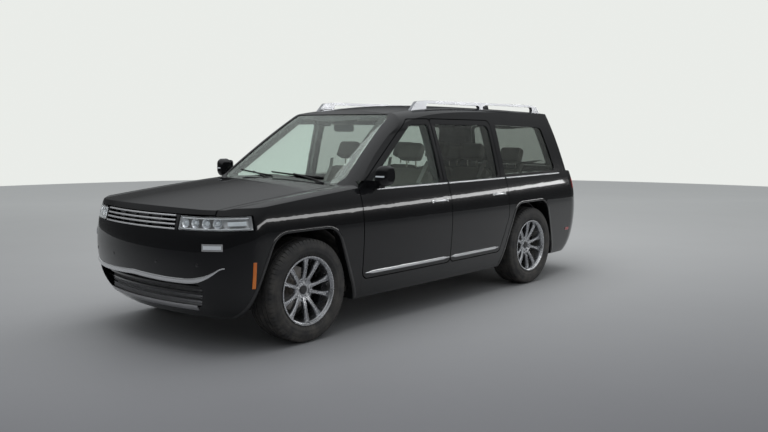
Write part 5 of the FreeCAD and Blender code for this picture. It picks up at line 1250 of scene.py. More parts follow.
class VEHICLE_OT_side_trim(bpy.types.Operator):
    """Arch mouldings, door strips, belt mouldings, pillar covers, handles, fuel flap and mirrors."""

    bl_idname = "vehicle.side_trim"
    bl_label = "Side trim"

    def execute(self, context):
        for end in ENDS:
            line = arch_line(tyre_place(end, "left")[0][0], 0.014)
            points, out = side_skin(line[:, 0], line[:, 1],
                                    ["front_bumper", "fender_left"] if end == "front" else
                                    ["body_side_left", "rear_bumper"])
            both(f"{end}_arch_moulding", swept(strip_profile(0.024, 0.0045), points, out), "body",
                 FINISH["black"], smooth=40)
        for door, x0, x1, handle in (("front_door", 0.014, 1.1, (0.065, 0.27)),
                                     ("rear_door", -0.775, -0.014, (-0.87, -0.665))):
            names = [f"{door}_left"]
            x = np.linspace(x0, x1, 40)
            ease = np.clip(np.minimum(np.arange(40), np.arange(40)[::-1]) / 3, 0.3, 1)
            points, out = side_skin(x, np.full(40, 0.438), names)
            both(f"{door}_strip",
                 swept(strip_profile(0.027, 0.007), points, out, scale=np.stack([ease, ease], -1)),
                 door + "_{side}", FINISH["chrome"], smooth=40)
            start, stop = (0.012, 0.93) if door == "front_door" else (-0.915, -0.012)
            points, out = side_skin(np.linspace(start, stop, 40), np.full(40, 1.0955), names)
            both(f"{door}_belt", swept(strip_profile(0.015, 0.006), points, out), door + "_{side}",
                 FINISH["chrome"], smooth=40)
            strap, cup = door_handle(*handle, 0.952, names)
            both(f"{door}_handle", strap, door + "_{side}", FINISH["chrome"], smooth=50)
            both(f"{door}_handle_cup", cup, door + "_{side}", FINISH["black"], smooth=40)
            z = np.broadcast_to(np.linspace(1.125, 1.605, 25)[:, None], (25, 6))
            edge = (0.004, 0.041) if door == "front_door" else (-0.041, -0.004)
            x = np.broadcast_to(np.linspace(*edge, 6), (25, 6))
            points, out = side_skin(x, z, names)
            both(f"{door}_pillar_cover", shell(points, out, 0.0014, -0.0015), door + "_{side}",
                 FINISH["black"], smooth=40)
        points, out = side_skin(np.linspace(-2.02, -0.955, 44), np.full(44, 1.0955), ["body_side_left"])
        both("quarter_belt", swept(strip_profile(0.015, 0.006), points, out), "body",
             FINISH["chrome"], smooth=40)
        outline = rounded_rectangle(0.165, 0.15, 0.03, 6)
        points, normals = rounded_patch((-1.86, -2.0, 0.99), outline, (1, 0, 0), (0, 0, 1), (0, 1, 0),
                                        ["body_side_right"])
        add_piece("fuel_flap_seam", shell(points, normals, 0.0002, -0.003, around=True), "body",
                  FINISH["seal"], smooth=40)
        points, normals = rounded_patch((-1.86, -2.0, 0.99), outline * 0.955, (1, 0, 0), (0, 0, 1), (0, 1, 0),
                                        ["body_side_right"])
        add_piece("fuel_flap", shell(points, normals, 0.001, -0.002, around=True), "body",
                  FINISH["paint"], smooth=40)
        self.mirrors()
        return {"FINISHED"}

    def mirrors(self):
        low, high = node_box("mirror_left")
        centre = (low[0] - 0.5, high[1] - 0.056, (low[2] + high[2]) / 2 + 0.018)
        outline = rounded_rectangle(0.078, 0.112, 0.026, 6)
        points, _ = rounded_patch(centre, outline, (0, 1, 0), (0, 0, 1), (1, 0, 0), ["mirror_left"], rings=6)
        flat = points.copy()
        flat[..., 0] = points[0, :, 0].mean() - 0.0015
        level = np.broadcast_to(np.array([-1.0, 0.0, 0.0]), flat.shape)
        both("mirror_glass", shell(flat, level, 0.001, -0.006, around=True), "front_door_{side}",
             FINISH["mirror"], smooth=30)
        loop = flat[-1] * 1.0
        both("mirror_bezel", swept(ellipse(0.007, 0.009, 8), loop, (-1, 0, 0), closed=True),
             "front_door_{side}", FINISH["grained"], smooth=40)
        t = np.linspace(0, 1, 12)
        start = np.stack([np.full(12, 2.0), high[1] - 0.008 - 0.08 * (1 - t),
                          np.full(12, centre[2] - 0.012)], -1)
        hits, out = cast(start, np.broadcast_to(np.array([-1.0, 0, 0]), start.shape), ["mirror_left"])
        hits, out = filled(hits), unit(filled(out))
        both("mirror_repeater", swept(strip_profile(0.012, 0.0028), hits[:-1], out[:-1]), "front_door_{side}",
             FINISH["clear"], smooth=40)


class VEHICLE_OT_screens(bpy.types.Operator):
    """Black borders of the screens, wipers, aerial fin and the vents of the cowl."""

    bl_idname = "vehicle.screens"
    bl_label = "Screens and wipers"

    def border(self, name, node, body, direction, axis, outline, width, depth):
        """Black band inside a pane's edge, laid on the pane's inner face."""
        share = np.linspace(0, 1, 3)[:, None, None]
        middle = outline.mean(0)
        from_middle = np.linalg.norm(outline - middle, axis=1, keepdims=True)
        inner = middle + (outline - middle) * (1 - width / from_middle)
        rows = inner[None] * (1 - share) + outline[None] * share
        start = np.zeros(rows.shape[:2] + (3,))
        start[..., 0], start[..., 1], start[..., 2] = axis, rows[..., 0], rows[..., 1]
        hits, normals = cast(start, np.broadcast_to(np.array(direction, float), start.shape), [node])
        hits, normals = filled(hits), unit(filled(normals))
        ring = shell(hits - normals * depth, normals, 0.0, -0.0015, around=True, hole=True)
        return add_piece(name, ring, body, FINISH["seal"], smooth=30)

    def execute(self, context):
        for name, node, body, direction, axis, corners, radius, width in (
                ("windscreen_border", "windscreen", "body", (-1, 0, 0), 3.0,
                 [(-0.735, 1.142), (0.735, 1.142), (0.573, 1.695), (-0.573, 1.695)], 0.055, 0.055),
                ("tailgate_border", "tailgate_glass", "tailgate", (1, 0, 0), -3.5,
                 [(-0.53, 1.15), (0.53, 1.15), (0.482, 1.6), (-0.482, 1.6)], 0.055, 0.04)):
            middle = ((corners[0][0] + corners[1][0]) / 2, corners[0][1])
            ring = [middle] + [corners[1], corners[2], corners[3], corners[0]] + [middle]
            outline = resampled(rounded_path(ring, (radius,) * 4, 6), 97)[:-1]
            self.border(name, node, body, direction, axis, outline, width, 0.0062)
        for sign, reach in ((1, 0.6), (-1, 0.52)):
            pivot_y = 0.62 if sign > 0 else 0.06
            t = np.linspace(0, 1, 20)
            blade_y, blade_z = pivot_y - 0.06 - reach * t, 1.178 + 0.028 * t
            start = np.stack([np.full(20, 3.0), blade_y, blade_z], -1)
            hits, out = cast(start, np.broadcast_to(np.array([-1.0, 0, 0]), start.shape), ["windscreen"])
            hits, out = filled(hits), unit(filled(out))
            blade = swept([(-0.004, 0.004), (-0.002, 0.0005), (0.002, 0.0005), (0.004, 0.004),
                           (0.0045, 0.011), (0.0, 0.0145), (-0.0045, 0.011)], hits, out)
            root = np.array([hits[0, 0] + 0.035, pivot_y, 1.118])
            arm_line = curve([root, root * 0.5 + hits[5] * 0.5 + np.array([0.01, 0, 0.012]),
                              hits[10] + out[10] * 0.019],
                             14)
            arm = swept(rounded_rectangle(0.014, 0.007, 0.002, 2), arm_line, out[5],
                        scale=np.stack([np.linspace(1.3, 0.7, 14)] * 2, -1))
            hub = spun([(-0.008, 0.0), (-0.008, 0.014), (0.008, 0.0125), (0.011, 0.008), (0.0115, 0.0)], root,
                       (0.4, 0, 1), 24)
            side = "left" if sign > 0 else "right"
            add_piece(f"wiper_{side}", joined([blade, arm, hub]), "body",
                      FINISH["seal"], smooth=35)
        x = np.linspace(0, 1, 22)
        rise, fall = np.clip(x * 1.1, 0, 1), np.clip((x - 0.82) / 0.18, 0, 1)
        height = 0.056 * np.sin(rise * math.pi / 2) ** 0.8 * (1 - fall ** 3)
        half = 0.027 * np.sin(math.pi * np.clip(x * 0.94 + 0.03, 0, 1)) ** 0.6
        turn = np.linspace(0, math.pi, 13)
        start = np.array([-1.86, 0.0, 3.0])
        hit, _ = cast(start, np.array([0, 0, -1.0]), ["roof_panel"])
        base = float(np.ravel(hit)[2]) - 0.004
        ring = np.stack([np.broadcast_to((-1.79 - 0.17 * x)[:, None], (22, 13)),
                         half[:, None] * np.cos(turn),
                         base + 0.002 + height[:, None] * np.sin(turn) ** 1.6], -1)
        ring[:, [0, -1], 2] = base - 0.006
        add_piece("aerial_fin", outward(grid(ring, around=True, ends=True)), "body",
                  FINISH["paint"], smooth=50)
        low, high = node_box("cowl")
        slots = []
        for y in np.linspace(-0.52, 0.52, 27):
            start = np.stack([np.linspace(low[0] + 0.045, high[0] - 0.05 - 0.06 * abs(y), 6), np.full(6, y),
                              np.full(6, 3.0)], -1)
            hits, out = cast(start, np.broadcast_to(np.array([0, 0, -1.0]), start.shape), ["cowl"])
            if np.isfinite(hits).all():
                slots.append(swept(strip_profile(0.008, 0.0025), hits, out))
        add_piece("cowl_louvres", joined(slots), "body", FINISH["grained"], smooth=40)
        return {"FINISHED"}

# Rear trim

REAR_PIVOT = (-1.6, 0.0)


class VEHICLE_OT_rear_trim(bpy.types.Operator):
    """Bright strip, handle, plate lamps, wiper and high lamp of the tailgate, and step pad."""

    bl_idname = "vehicle.rear_trim"
    bl_label = "Rear trim"

    def execute(self, context):
        across = np.linspace(-0.56, 0.56, 57)
        skin = ["tailgate"]

        def line_at(y, z, names=skin):
            start = np.stack([np.full(len(y), -3.2), y, np.broadcast_to(z, y.shape)], -1)
            hits, normals = cast(start, (1, 0, 0), names)
            return smoothed(filled(hits), 1), unit(smoothed(filled(normals), 2))

        line, out = line_at(across, 0.938)
        taper = np.clip(np.minimum(np.arange(57), np.arange(57)[::-1]) / 4, 0.3, 1)
        add_piece("tailgate_strip", swept(strip_profile(0.024, 0.007), line, out,
                                          scale=np.stack([taper, taper], -1)), "tailgate",
                  FINISH["chrome"], smooth=40)
        line, out = line_at(np.linspace(-0.235, 0.235, 33), 0.874)
        add_piece("tailgate_handle", swept(strip_profile(0.034, 0.02), line, out), "tailgate",
                  FINISH["paint"], smooth=40)
        line, out = line_at(np.linspace(-0.07, 0.07, 15), 0.853)
        add_piece("tailgate_switch", swept(strip_profile(0.008, 0.002), line, out), "tailgate",
                  FINISH["rubber"], smooth=40)
        lamps = []
        for y in (-0.17, 0.17):
            line, out = line_at(np.linspace(y - 0.022, y + 0.022, 9), 0.846)
            lamps.append(swept(strip_profile(0.012, 0.003), line, out))
        add_piece("plate_lamps", joined(lamps), "tailgate", FINISH["lens"], smooth=40)

        line, out = line_at(np.linspace(-0.2, 0.2, 25), 1.668)
        add_piece("high_lamp", swept(strip_profile(0.02, 0.004), line, out), "tailgate",
                  FINISH["red"], smooth=40)
        start, out = line_at(np.array([-0.02, 0.0, 0.02]), 1.116)
        pivot, normal = start[1], out[1]
        cap = spun([(-0.01, 0.0), (-0.01, 0.021), (0.007, 0.021), (0.014, 0.017), (0.016, 0.0)],
                   pivot, normal, 28)
        reach = np.linspace(0, 1, 19)
        glass_at, glass_out = line_at(0.01 + 0.335 * reach, 1.13 + 0.055 * reach,
                                      ["tailgate", "tailgate_glass"])
        arm = glass_at + glass_out * (0.016 - 0.006 * reach)[:, None]
        bar = swept(rounded_rectangle(0.016, 0.008, 0.003, 2), arm, glass_out,
                    scale=np.stack([1 - 0.4 * reach, 1 - 0.3 * reach], -1))
        add_piece("rear_wiper_arm", cap + bar, "tailgate", FINISH["grained"], smooth=35)
        y = np.linspace(0.02, 0.4, 25)
        glass_at, glass_out = line_at(y, 1.152 + 0.05 * (y - 0.02) / 0.38, ["tailgate_glass"])
        blade = swept(rounded_rectangle(0.011, 0.009, 0.003, 2), glass_at + glass_out * 0.009, glass_out)
        edge = swept([(-0.001, -0.0045), (0.001, -0.0045), (0.002, 0.004), (-0.002, 0.004)],
                     glass_at + glass_out * 0.004, glass_out)
        add_piece("rear_wiper_blade", blade + edge, "tailgate", FINISH["rubber"], smooth=35)

        ribs = []
        for i in range(5):
            x = -2.585 + 0.013 * i
            y = np.linspace(-0.46, 0.46, 41)
            hits, normals = cast(np.stack([np.full(41, x), y, np.full(41, 1.2)], -1), (0, 0, -1),
                                 ["rear_bumper"])
            good = np.isfinite(hits[:, 0]) & (hits[:, 2] > 0.55)
            if good.sum() > 30:
                ribs.append(swept(strip_profile(0.007, 0.0028), hits[good], normals[good]))
        if ribs:
            add_piece("bumper_step_ribs", joined(ribs), "body", FINISH["grained"], smooth=40)
        line, out = round_path(REAR_PIVOT, np.linspace(146, 214, 61), 0.335, ["rear_bumper"])
        add_piece("rear_valance", swept(strip_profile(0.03, 0.006), line, out), "body",
                  FINISH["grained"], smooth=40)
        line, out = round_path(REAR_PIVOT, np.linspace(163, 197, 41), 0.452, ["rear_bumper"])
        add_piece("rear_bumper_strip", swept(strip_profile(0.016, 0.005), line, out), "body",
                  FINISH["chrome"], smooth=40)
        add_piece("plate_backing",
                  plate(rounded_rectangle(0.5, 0.145, 0.012, 4), (-2.5495, 0, 0.772), (0, -1, 0), (0, 0, 1),
                                         0.005, 0.0015), "tailgate",
                  FINISH["grained"], smooth=30)
        return {"FINISHED"}


# Padded seats


def cushion(size, crown, seams=(), band=0.62, power=0.3, rows=44, columns=56):
    """A stuffed pad of a size (along, across, thick): a superellipsoid, sgn(c)|c|^power of the two angles'
    cosines and sines, whose faces swell by crown times (1 - u^2)(1 - v^2) and pull in by a few
    millimetres on each seam: lines along at the given places across, and one line round the side at
    band times half the thickness."""
    a, b, c = np.asarray(size, float) / 2
    v = np.linspace(-math.pi / 2, math.pi / 2, rows + 2)[1:-1]
    u = np.linspace(0, 2 * math.pi, columns, endpoint=False)
    v, u = np.meshgrid(v, u, indexing="ij")

    def soft(value):
        return np.sign(value) * np.abs(value) ** power

    x, y, z = soft(np.cos(v)) * soft(np.cos(u)), soft(np.cos(v)) * soft(np.sin(u)), soft(np.sin(v))
    swell = np.clip(1 - x ** 2, 0, 1) ** 0.5 * np.clip(1 - y ** 2, 0, 1) ** 0.5
    flat = np.clip(np.abs(z), 0, 1) ** 4
    height = c * z * (1 - 0.06) + np.sign(z) * crown * (swell - 0.35) * flat
    pull = np.zeros_like(x)
    for place in seams:
        pull += np.exp(-((y * b - place) / 0.0055) ** 2) * flat * (np.abs(x) < 0.93)
    height = height - np.sign(z) * 0.0065 * pull
    side = 1 - 0.035 * np.exp(-((z - band) / 0.05) ** 2) - 0.02 * (x ** 2) * (y ** 2)
    waist = 1 - 0.012 * (1 - x ** 2) * (np.abs(y) > 0.9) - 0.012 * (1 - y ** 2) * (np.abs(x) > 0.9)
    points = np.stack([x * a * side * waist, y * b * side * waist, height], -1)
    return outward(grid(points, around=True, ends=True))


def laid(shape, centre, lean):
    """The pad put at a place in the side view, with its length along a direction that leans up by an
    angle."""
    return shape.turned((0, 0, 0), (0, 1, 0), -lean).moved(*centre)


def pad_piece(name, shape, place, replaced=()):
    item = add_piece(name, shape.moved(y=place), "body", FINISH["leather"],
                     replaced, smooth=75)
    return item


def seat_row(row, x, places, width, back_height, lean, replaced):
    """One row of seats: for each place a cushion, a back, a headrest and its posts; the first cushion takes
    the place of the row's own node. The back leans from the cushion up to the top of the back."""
    top = 0.675
    high = top + back_height
    gap = 0.004
    rise = high - (top - 0.04)
    run = lean + 0.06
    tilt = math.atan2(rise, -run)
    length = math.hypot(rise, run)
    normal = np.array([math.sin(tilt), 0.0, -math.cos(tilt)])
    for i, y in enumerate(places):
        seams = (-width * 0.24, width * 0.24, -width * 0.08, width * 0.08)
        seat = cushion((0.53, width - gap, 0.15), 0.016, seams)
        pad_piece(f"{row}_cushion_{i + 1}", laid(seat, (x + 0.25, 0, top - 0.095), 0.04), y,
                  (replaced,) if i == 0 else ())
        middle = np.array([x + 0.06 - run / 2, 0.0, top - 0.04 + rise / 2]) - normal * 0.066
        back = cushion((length - 0.03, width - gap, 0.125), 0.014, seams)
        pad_piece(f"{row}_back_{i + 1}", laid(back, middle, tilt), y)
        rest = cushion((0.165, 0.262, 0.09), 0.01, (), 0.0)
        pad_piece(f"{row}_headrest_{i + 1}", laid(rest, (x - lean - 0.045, 0, high + 0.122), tilt), y)
        posts = [tube([(x - lean - 0.045, y + s, high - 0.02),
                       (x - lean - 0.045, y + s, high + 0.06)], 0.006, 12)
                 for s in (-0.055, 0.055)]
        add_piece(f"{row}_headrest_posts_{i + 1}", joined(posts), "body", FINISH["steel"])


class VEHICLE_OT_seats(bpy.types.Operator):
    """Three rows of padded seats with sewn channels, headrests, moulded bases, rails and belts."""

    bl_idname = "vehicle.seats"
    bl_label = "Seats"

    def execute(self, context):
        seat_row("front_row", 0.16, (0.4, -0.4), 0.52, 0.56, 0.23, "front_seats")
        seat_row("second_row", -0.78, (0.447, 0.0, -0.447), 0.447, 0.54, 0.2, "second_row")
        seat_row("third_row", -1.62, (0.393, 0.0, -0.393), 0.393, 0.48, 0.17, "third_row")
        for row, x, half, centres in (("front_row", 0.16, 0.24, (0.4, -0.4)),
                                      ("second_row", -0.78, 0.66, (0.0,)),
                                      ("third_row", -1.62, 0.58, (0.0,))):
            shapes, rails = [], []
            for y in centres:
                outline = [(0.485, 0.002), (0.5, 0.12), (0.495, 0.17), (-0.04, 0.17), (-0.055, 0.11),
                           (-0.04, 0.002)]
                shapes.append(plate(outline, (x, y + half, 0.345), (1, 0, 0), (0, 0, 1), 2 * half, 0.012))
                for s in (-1, 1):
                    rails.append(swept(rounded_rectangle(0.036, 0.02, 0.004, 3),
                                       [(x - 0.05, y + s * (half - 0.06), 0.357),
                                        (x + 0.51, y + s * (half - 0.06), 0.357)],
                                       (0, 0, 1)))
            add_piece(f"{row}_base", joined(shapes), "body", FINISH["cabin"], smooth=35)
            add_piece(f"{row}_rails", joined(rails), "body", FINISH["steel"], smooth=35)
        belts, buckles = [], []
        for x, lean, high, places in ((0.16, 0.23, 1.235, (0.62, -0.62)), (-0.78, 0.2, 1.215, (0.63, -0.63)),
                                      (-1.62, 0.17, 1.155, (0.555, -0.555))):
            for y in places:
                s = 1 if y > 0 else -1
                path = curve([(x - lean - 0.02, y, high + 0.04), (x - lean + 0.03, y - s * 0.02, high - 0.06),
                              (x - 0.05, y - s * 0.03, 0.95), (x + 0.02, y - s * 0.02, 0.74),
                              (x - 0.02, y, 0.55)], 25)
                belts.append(swept(rounded_rectangle(0.044, 0.0016, 0.0007, 2), path, (1.0, 0.0, 0.25)))
            inner = 0.13 if x > 0 else 0.22
            for y in (inner, -inner):
                buckles.append(swept(rounded_rectangle(0.034, 0.018, 0.005, 3),
                                     [(x + 0.0, y, 0.62), (x + 0.03, y, 0.735)], (1, 0, 0)))
        add_piece("safety_belts", joined(belts), "body", FINISH["cloth"], smooth=40)
        add_piece("belt_buckles", joined(buckles), "body", FINISH["black"], smooth=40)
        return {"FINISHED"}

# Cabin


def face_at(y, z, names, start=-0.5, toward=1):
    """Where level rays along the vehicle first meet the named nodes, with the normals there."""
    y, z = np.broadcast_arrays(np.asarray(y, float), np.asarray(z, float))
    origin = np.stack([np.full(y.shape, start), y, z], -1)
    hits, normals = cast(origin, (toward, 0, 0), names)
    return filled(hits), unit(filled(normals))


def panel_on(y, z, width, height, radius, names, rise, sink=0.004, rings=5):
    """A rounded plate that lies on a face seen from the driver's side, raised by an amount."""
    outline = rounded_rectangle(width, height, radius, 5)
    points, normals = rounded_patch((0.3, y, z), outline, (0, 1, 0), (0, 0, 1), (1, 0, 0), names, rings)
    normals = np.broadcast_to(unit(normals.reshape(-1, 3).mean(0)), points.shape)
    return shell(points, normals, rise, -sink, around=True)


class VEHICLE_OT_cabin(bpy.types.Operator):
    """Screens, vents, wheel trim, stalks, selector, pedals, mirror, visors, grab handles, headliner and
    mats."""

    bl_idname = "vehicle.cabin"
    bl_label = "Cabin"

    def execute(self, context):
        dash = ["dashboard"]
        add_piece("cluster_hood", panel_on(0.385, 0.945, 0.36, 0.15, 0.04, dash, 0.018), "body",
                  FINISH["leather"], smooth=40)
        add_piece("cluster_screen", panel_on(0.385, 0.945, 0.32, 0.115, 0.02, dash, 0.0205), "body",
                  FINISH["screen"], smooth=40)
        add_piece("display", panel_on(0.0, 0.925, 0.29, 0.17, 0.014, dash, 0.02), "body",
                  FINISH["black"], smooth=40)
        add_piece("display_screen", panel_on(0.0, 0.925, 0.276, 0.156, 0.01, dash, 0.022), "body",
                  FINISH["screen"], smooth=40)
        bezels, slats = [], []
        for y in (0.63, 0.195, -0.195, -0.63):
            bezels.append(panel_on(y, 0.93, 0.09, 0.056, 0.014, dash, 0.006))
            at, out = face_at(np.full(3, y), 0.93 + np.array([-0.015, 0.0, 0.015]), dash)
            slats += [swept(rounded_rectangle(0.01, 0.0025, 0.001, 2),
                            [(p[0] - 0.008, y - 0.036, p[2]), (p[0] - 0.008, y + 0.036, p[2])],
                            (0.3, 0, 1)) for p in at]
        add_piece("vents", joined(bezels), "body", FINISH["black"], smooth=40)
        add_piece("vent_slats", joined(slats), "body", FINISH["silver"], smooth=40)
        line, out = face_at(np.linspace(-0.66, -0.2, 33), 0.86, dash)
        strip = swept(strip_profile(0.02, 0.004), line, out)
        line, out = face_at(np.linspace(0.6, 0.68, 9), 0.86, dash)
        add_piece("dash_strip", strip + swept(strip_profile(0.02, 0.004), line, out), "body",
                  FINISH["silver"], smooth=40)
        corners = np.array([(-0.6, 0.735), (-0.2, 0.735), (-0.2, 0.845), (-0.6, 0.845), (-0.6, 0.735)])
        path = resampled(np.column_stack([corners, np.zeros(5)]), 81)[:, :2]
        line, out = face_at(path[:, 0], path[:, 1], dash)
        add_piece("glove_box_joint", swept(strip_profile(0.004, 0.0012), line[:-1], out[:-1], closed=True),
                  "body", FINISH["rubber"], smooth=40)
        buttons = [panel_on(y, 0.8, 0.03, 0.014, 0.004, dash, 0.004, rings=3)
                   for y in np.linspace(-0.11, 0.11, 7)]
        add_piece("dash_buttons", joined(buttons), "body", FINISH["black"], smooth=40)
        knobs = []
        for y in (-0.13, 0.13):
            at, out = face_at(np.full(3, y), np.full(3, 0.765), dash)
            knobs.append(spun([(-0.004, 0.0), (-0.004, 0.022), (0.014, 0.021), (0.018, 0.018), (0.018, 0.0)],
                              at[1], (-1, 0, 0), 32))
        add_piece("dash_knobs", joined(knobs), "body", FINISH["silver"], smooth=35)

        # Steering wheel: the hub's axis points up and back to the driver
        centre = np.array([0.64, 0.385, 0.985])
        axis = unit([-0.927, 0.0, 0.375])
        over = np.array([0.375, 0.0, 0.927])
        low, high = node_box("steering_wheel")
        radius = (high[1] - low[1]) / 2 - 0.0165
        turn = np.linspace(0, 2 * math.pi, 96, endpoint=False)
        round_hub = np.cos(turn)[:, None] * np.array([0, 1.0, 0]) + np.sin(turn)[:, None] * over
        rim = centre + round_hub * radius
        grip = 0.0167 + 0.0008 * np.cos(4 * turn)
        ring = swept(ellipse(2, 2, 18), rim, axis, closed=True, scale=np.stack([grip, grip], -1))
        add_piece("wheel_rim_cover", ring, "steering_wheel",
                  FINISH["wheel_leather"], smooth=60)
        stitch = centre + round_hub * (radius - 0.0166)
        add_piece("wheel_stitching", swept(ellipse(0.0025, 0.0025, 6), stitch, axis, closed=True),
                  "steering_wheel", FINISH["silver"], smooth=60)
        pad_at = centre + axis * 0.012
        add_piece("wheel_pad",
                  plate(rounded_rectangle(0.15, 0.11, 0.035, 6), pad_at, (0, -1, 0), over, 0.016, 0.006),
                  "steering_wheel", FINISH["leather"], smooth=45)
        keys = [plate(rounded_rectangle(0.034, 0.026, 0.007, 4), centre + axis * 0.012 + np.array([0, y, 0])
                      + over * 0.006, (0, -1, 0), over, 0.008, 0.002) for y in (-0.105, 0.105)]
        add_piece("wheel_keys", joined(keys), "steering_wheel", FINISH["black"], smooth=40)
        stalks = [tube(curve([(0.715, 0.385 + s * 0.03, 0.955), (0.7, 0.385 + s * 0.1, 0.962),
                              (0.685, 0.385 + s * 0.17, 0.975)], 13), 0.0065, 12) for s in (-1, 1)]
        add_piece("stalks", joined(stalks), "body", FINISH["black"], smooth=45)

        # Console
        low, high = node_box("console")
        lever = [(high[0] - 0.2, 0.0, high[2] - 0.01), (high[0] - 0.205, 0.0, high[2] + 0.05)]
        add_piece("selector_stem", tube(lever, 0.007, 12), "body", FINISH["steel"])
        knob = cushion((0.075, 0.042, 0.034), 0.002, (), 0.0, 0.6, 16, 24)
        knob = knob.moved(high[0] - 0.208, 0, high[2] + 0.06)
        add_piece("selector_knob", knob, "body", FINISH["leather"], smooth=60)
        cups = [spun([(-0.002, 0.03), (-0.002, 0.042), (0.004, 0.042), (0.004, 0.034), (0.001, 0.034),
                      (0.001, 0.03)],
                     (high[0] - x, 0, high[2]), (0, 0, 1), 40, closed=True) for x in (0.32, 0.42)]
        add_piece("cup_rings", joined(cups), "body", FINISH["steel"], smooth=35)
        rest = cushion((0.26, 0.19, 0.05), 0.004, (), 0.4).moved(low[0] + 0.15, 0, high[2] + 0.012)
        item = add_piece("console_rest", rest, "body", FINISH["leather"], smooth=70)

        # Pedals
        pads = []
        for y, width in ((0.31, 0.055), (0.42, 0.1)):
            pads.append(plate(rounded_rectangle(width, 0.12 if width < 0.06 else 0.07, 0.012, 4),
                              (0.925, y, 0.5), (0, -1, 0), (0.42, 0, 0.9), 0.012, 0.003))
            pads.append(tube(curve([(0.94, y, 0.51), (0.98, y, 0.6), (1.0, y, 0.7)], 9), 0.008, 10))
        add_piece("pedals", joined(pads), "body", FINISH["rubber"], smooth=35)

        # Roof lining and what hangs from it
        x = np.linspace(0.28, -2.1, 49)
        y = np.linspace(-0.54, 0.54, 25)
        grid_x, grid_y = np.meshgrid(x, y, indexing="ij")
        hits, normals = cast(np.stack([grid_x, grid_y, np.full(grid_x.shape, 1.3)], -1), (0, 0, 1),
                             ["roof_panel"])
        hits, normals = filled(hits), unit(filled(normals))
        normals = np.broadcast_to(np.array([0, 0, -1.0]), hits.shape)
        add_piece("roof_lining", shell(hits, normals, 0.012, 0.002), "body",
                  FINISH["cloth"], smooth=60)
        handles = []
        for x in (0.12, -0.72, -1.35):
            path = rounded_path([(x + 0.1, 0.532, 1.655), (x + 0.085, 0.515, 1.605),
                                 (x - 0.085, 0.515, 1.605), (x - 0.1, 0.532, 1.655)], (0.025, 0.025), 6)
            handles.append(swept(ellipse(0.022, 0.014, 14), path, (0, 1, 0)))
        both("grab_handles", joined(handles), "body", FINISH["cabin"], smooth=60)
        visors = plate(rounded_rectangle(0.13, 0.4, 0.02, 5), (0.25, 0.3, 1.652), (1, 0, -0.12),
                       (0, 1, 0), 0.016, 0.006)
        both("sun_visors", visors, "body", FINISH["cloth"], smooth=45)
        add_piece("mirror_stem", tube([(0.42, 0.0, 1.64), (0.385, 0.0, 1.6)], 0.01, 12), "body",
                  FINISH["black"])
        housing = plate(rounded_rectangle(0.25, 0.07, 0.03, 6), (0.36, 0.0, 1.58), (0, 1, 0),
                        (0.1, 0, 1), 0.028, 0.009)
        add_piece("mirror_housing", housing, "body", FINISH["black"], smooth=45)
        silver = plate(rounded_rectangle(0.232, 0.054, 0.024, 6), (0.3612, 0.0, 1.58), (0, -1, 0),
                       (0.1, 0, 1), 0.002, 0.0006)
        add_piece("mirror_silver", silver, "body", FINISH["mirror"], smooth=30)
        lamp = [plate(rounded_rectangle(0.1, 0.06, 0.012, 4), (x, 0.0, 1.678), (1, 0, 0),
                      (0, -1, 0), 0.01, 0.003)
                for x in (0.0, -0.9)]
        add_piece("roof_lamps", joined(lamp), "body", FINISH["clear"], smooth=40)

        mats = [plate(rounded_rectangle(0.42, 0.4, 0.05, 5), (x, y, 0.3455), (1, 0, 0),
                      (0, 1, 0), 0.012, 0.004)
                for x, y in ((0.86, 0.4), (0.86, -0.4), (-0.1, 0.4), (-0.1, -0.4))]
        add_piece("floor_mats", joined(mats), "body", FINISH["carpet"], smooth=40)
        return {"FINISHED"}

# Doors' inside, engine bay and underside


def door_card(x0, x1, names, top, bottom, toward=1):
    """Grid of points on the inside of a left door between two places along the vehicle and two heights."""
    x = np.linspace(x0, x1, 25)
    z = np.linspace(bottom, top, 13)
    grid_z, grid_x = np.meshgrid(z, x, indexing="ij")
    hits, normals = cast(np.stack([grid_x, np.full(grid_x.shape, 0.3), grid_z], -1), (0, toward, 0), names)
    return filled(hits), unit(filled(normals))


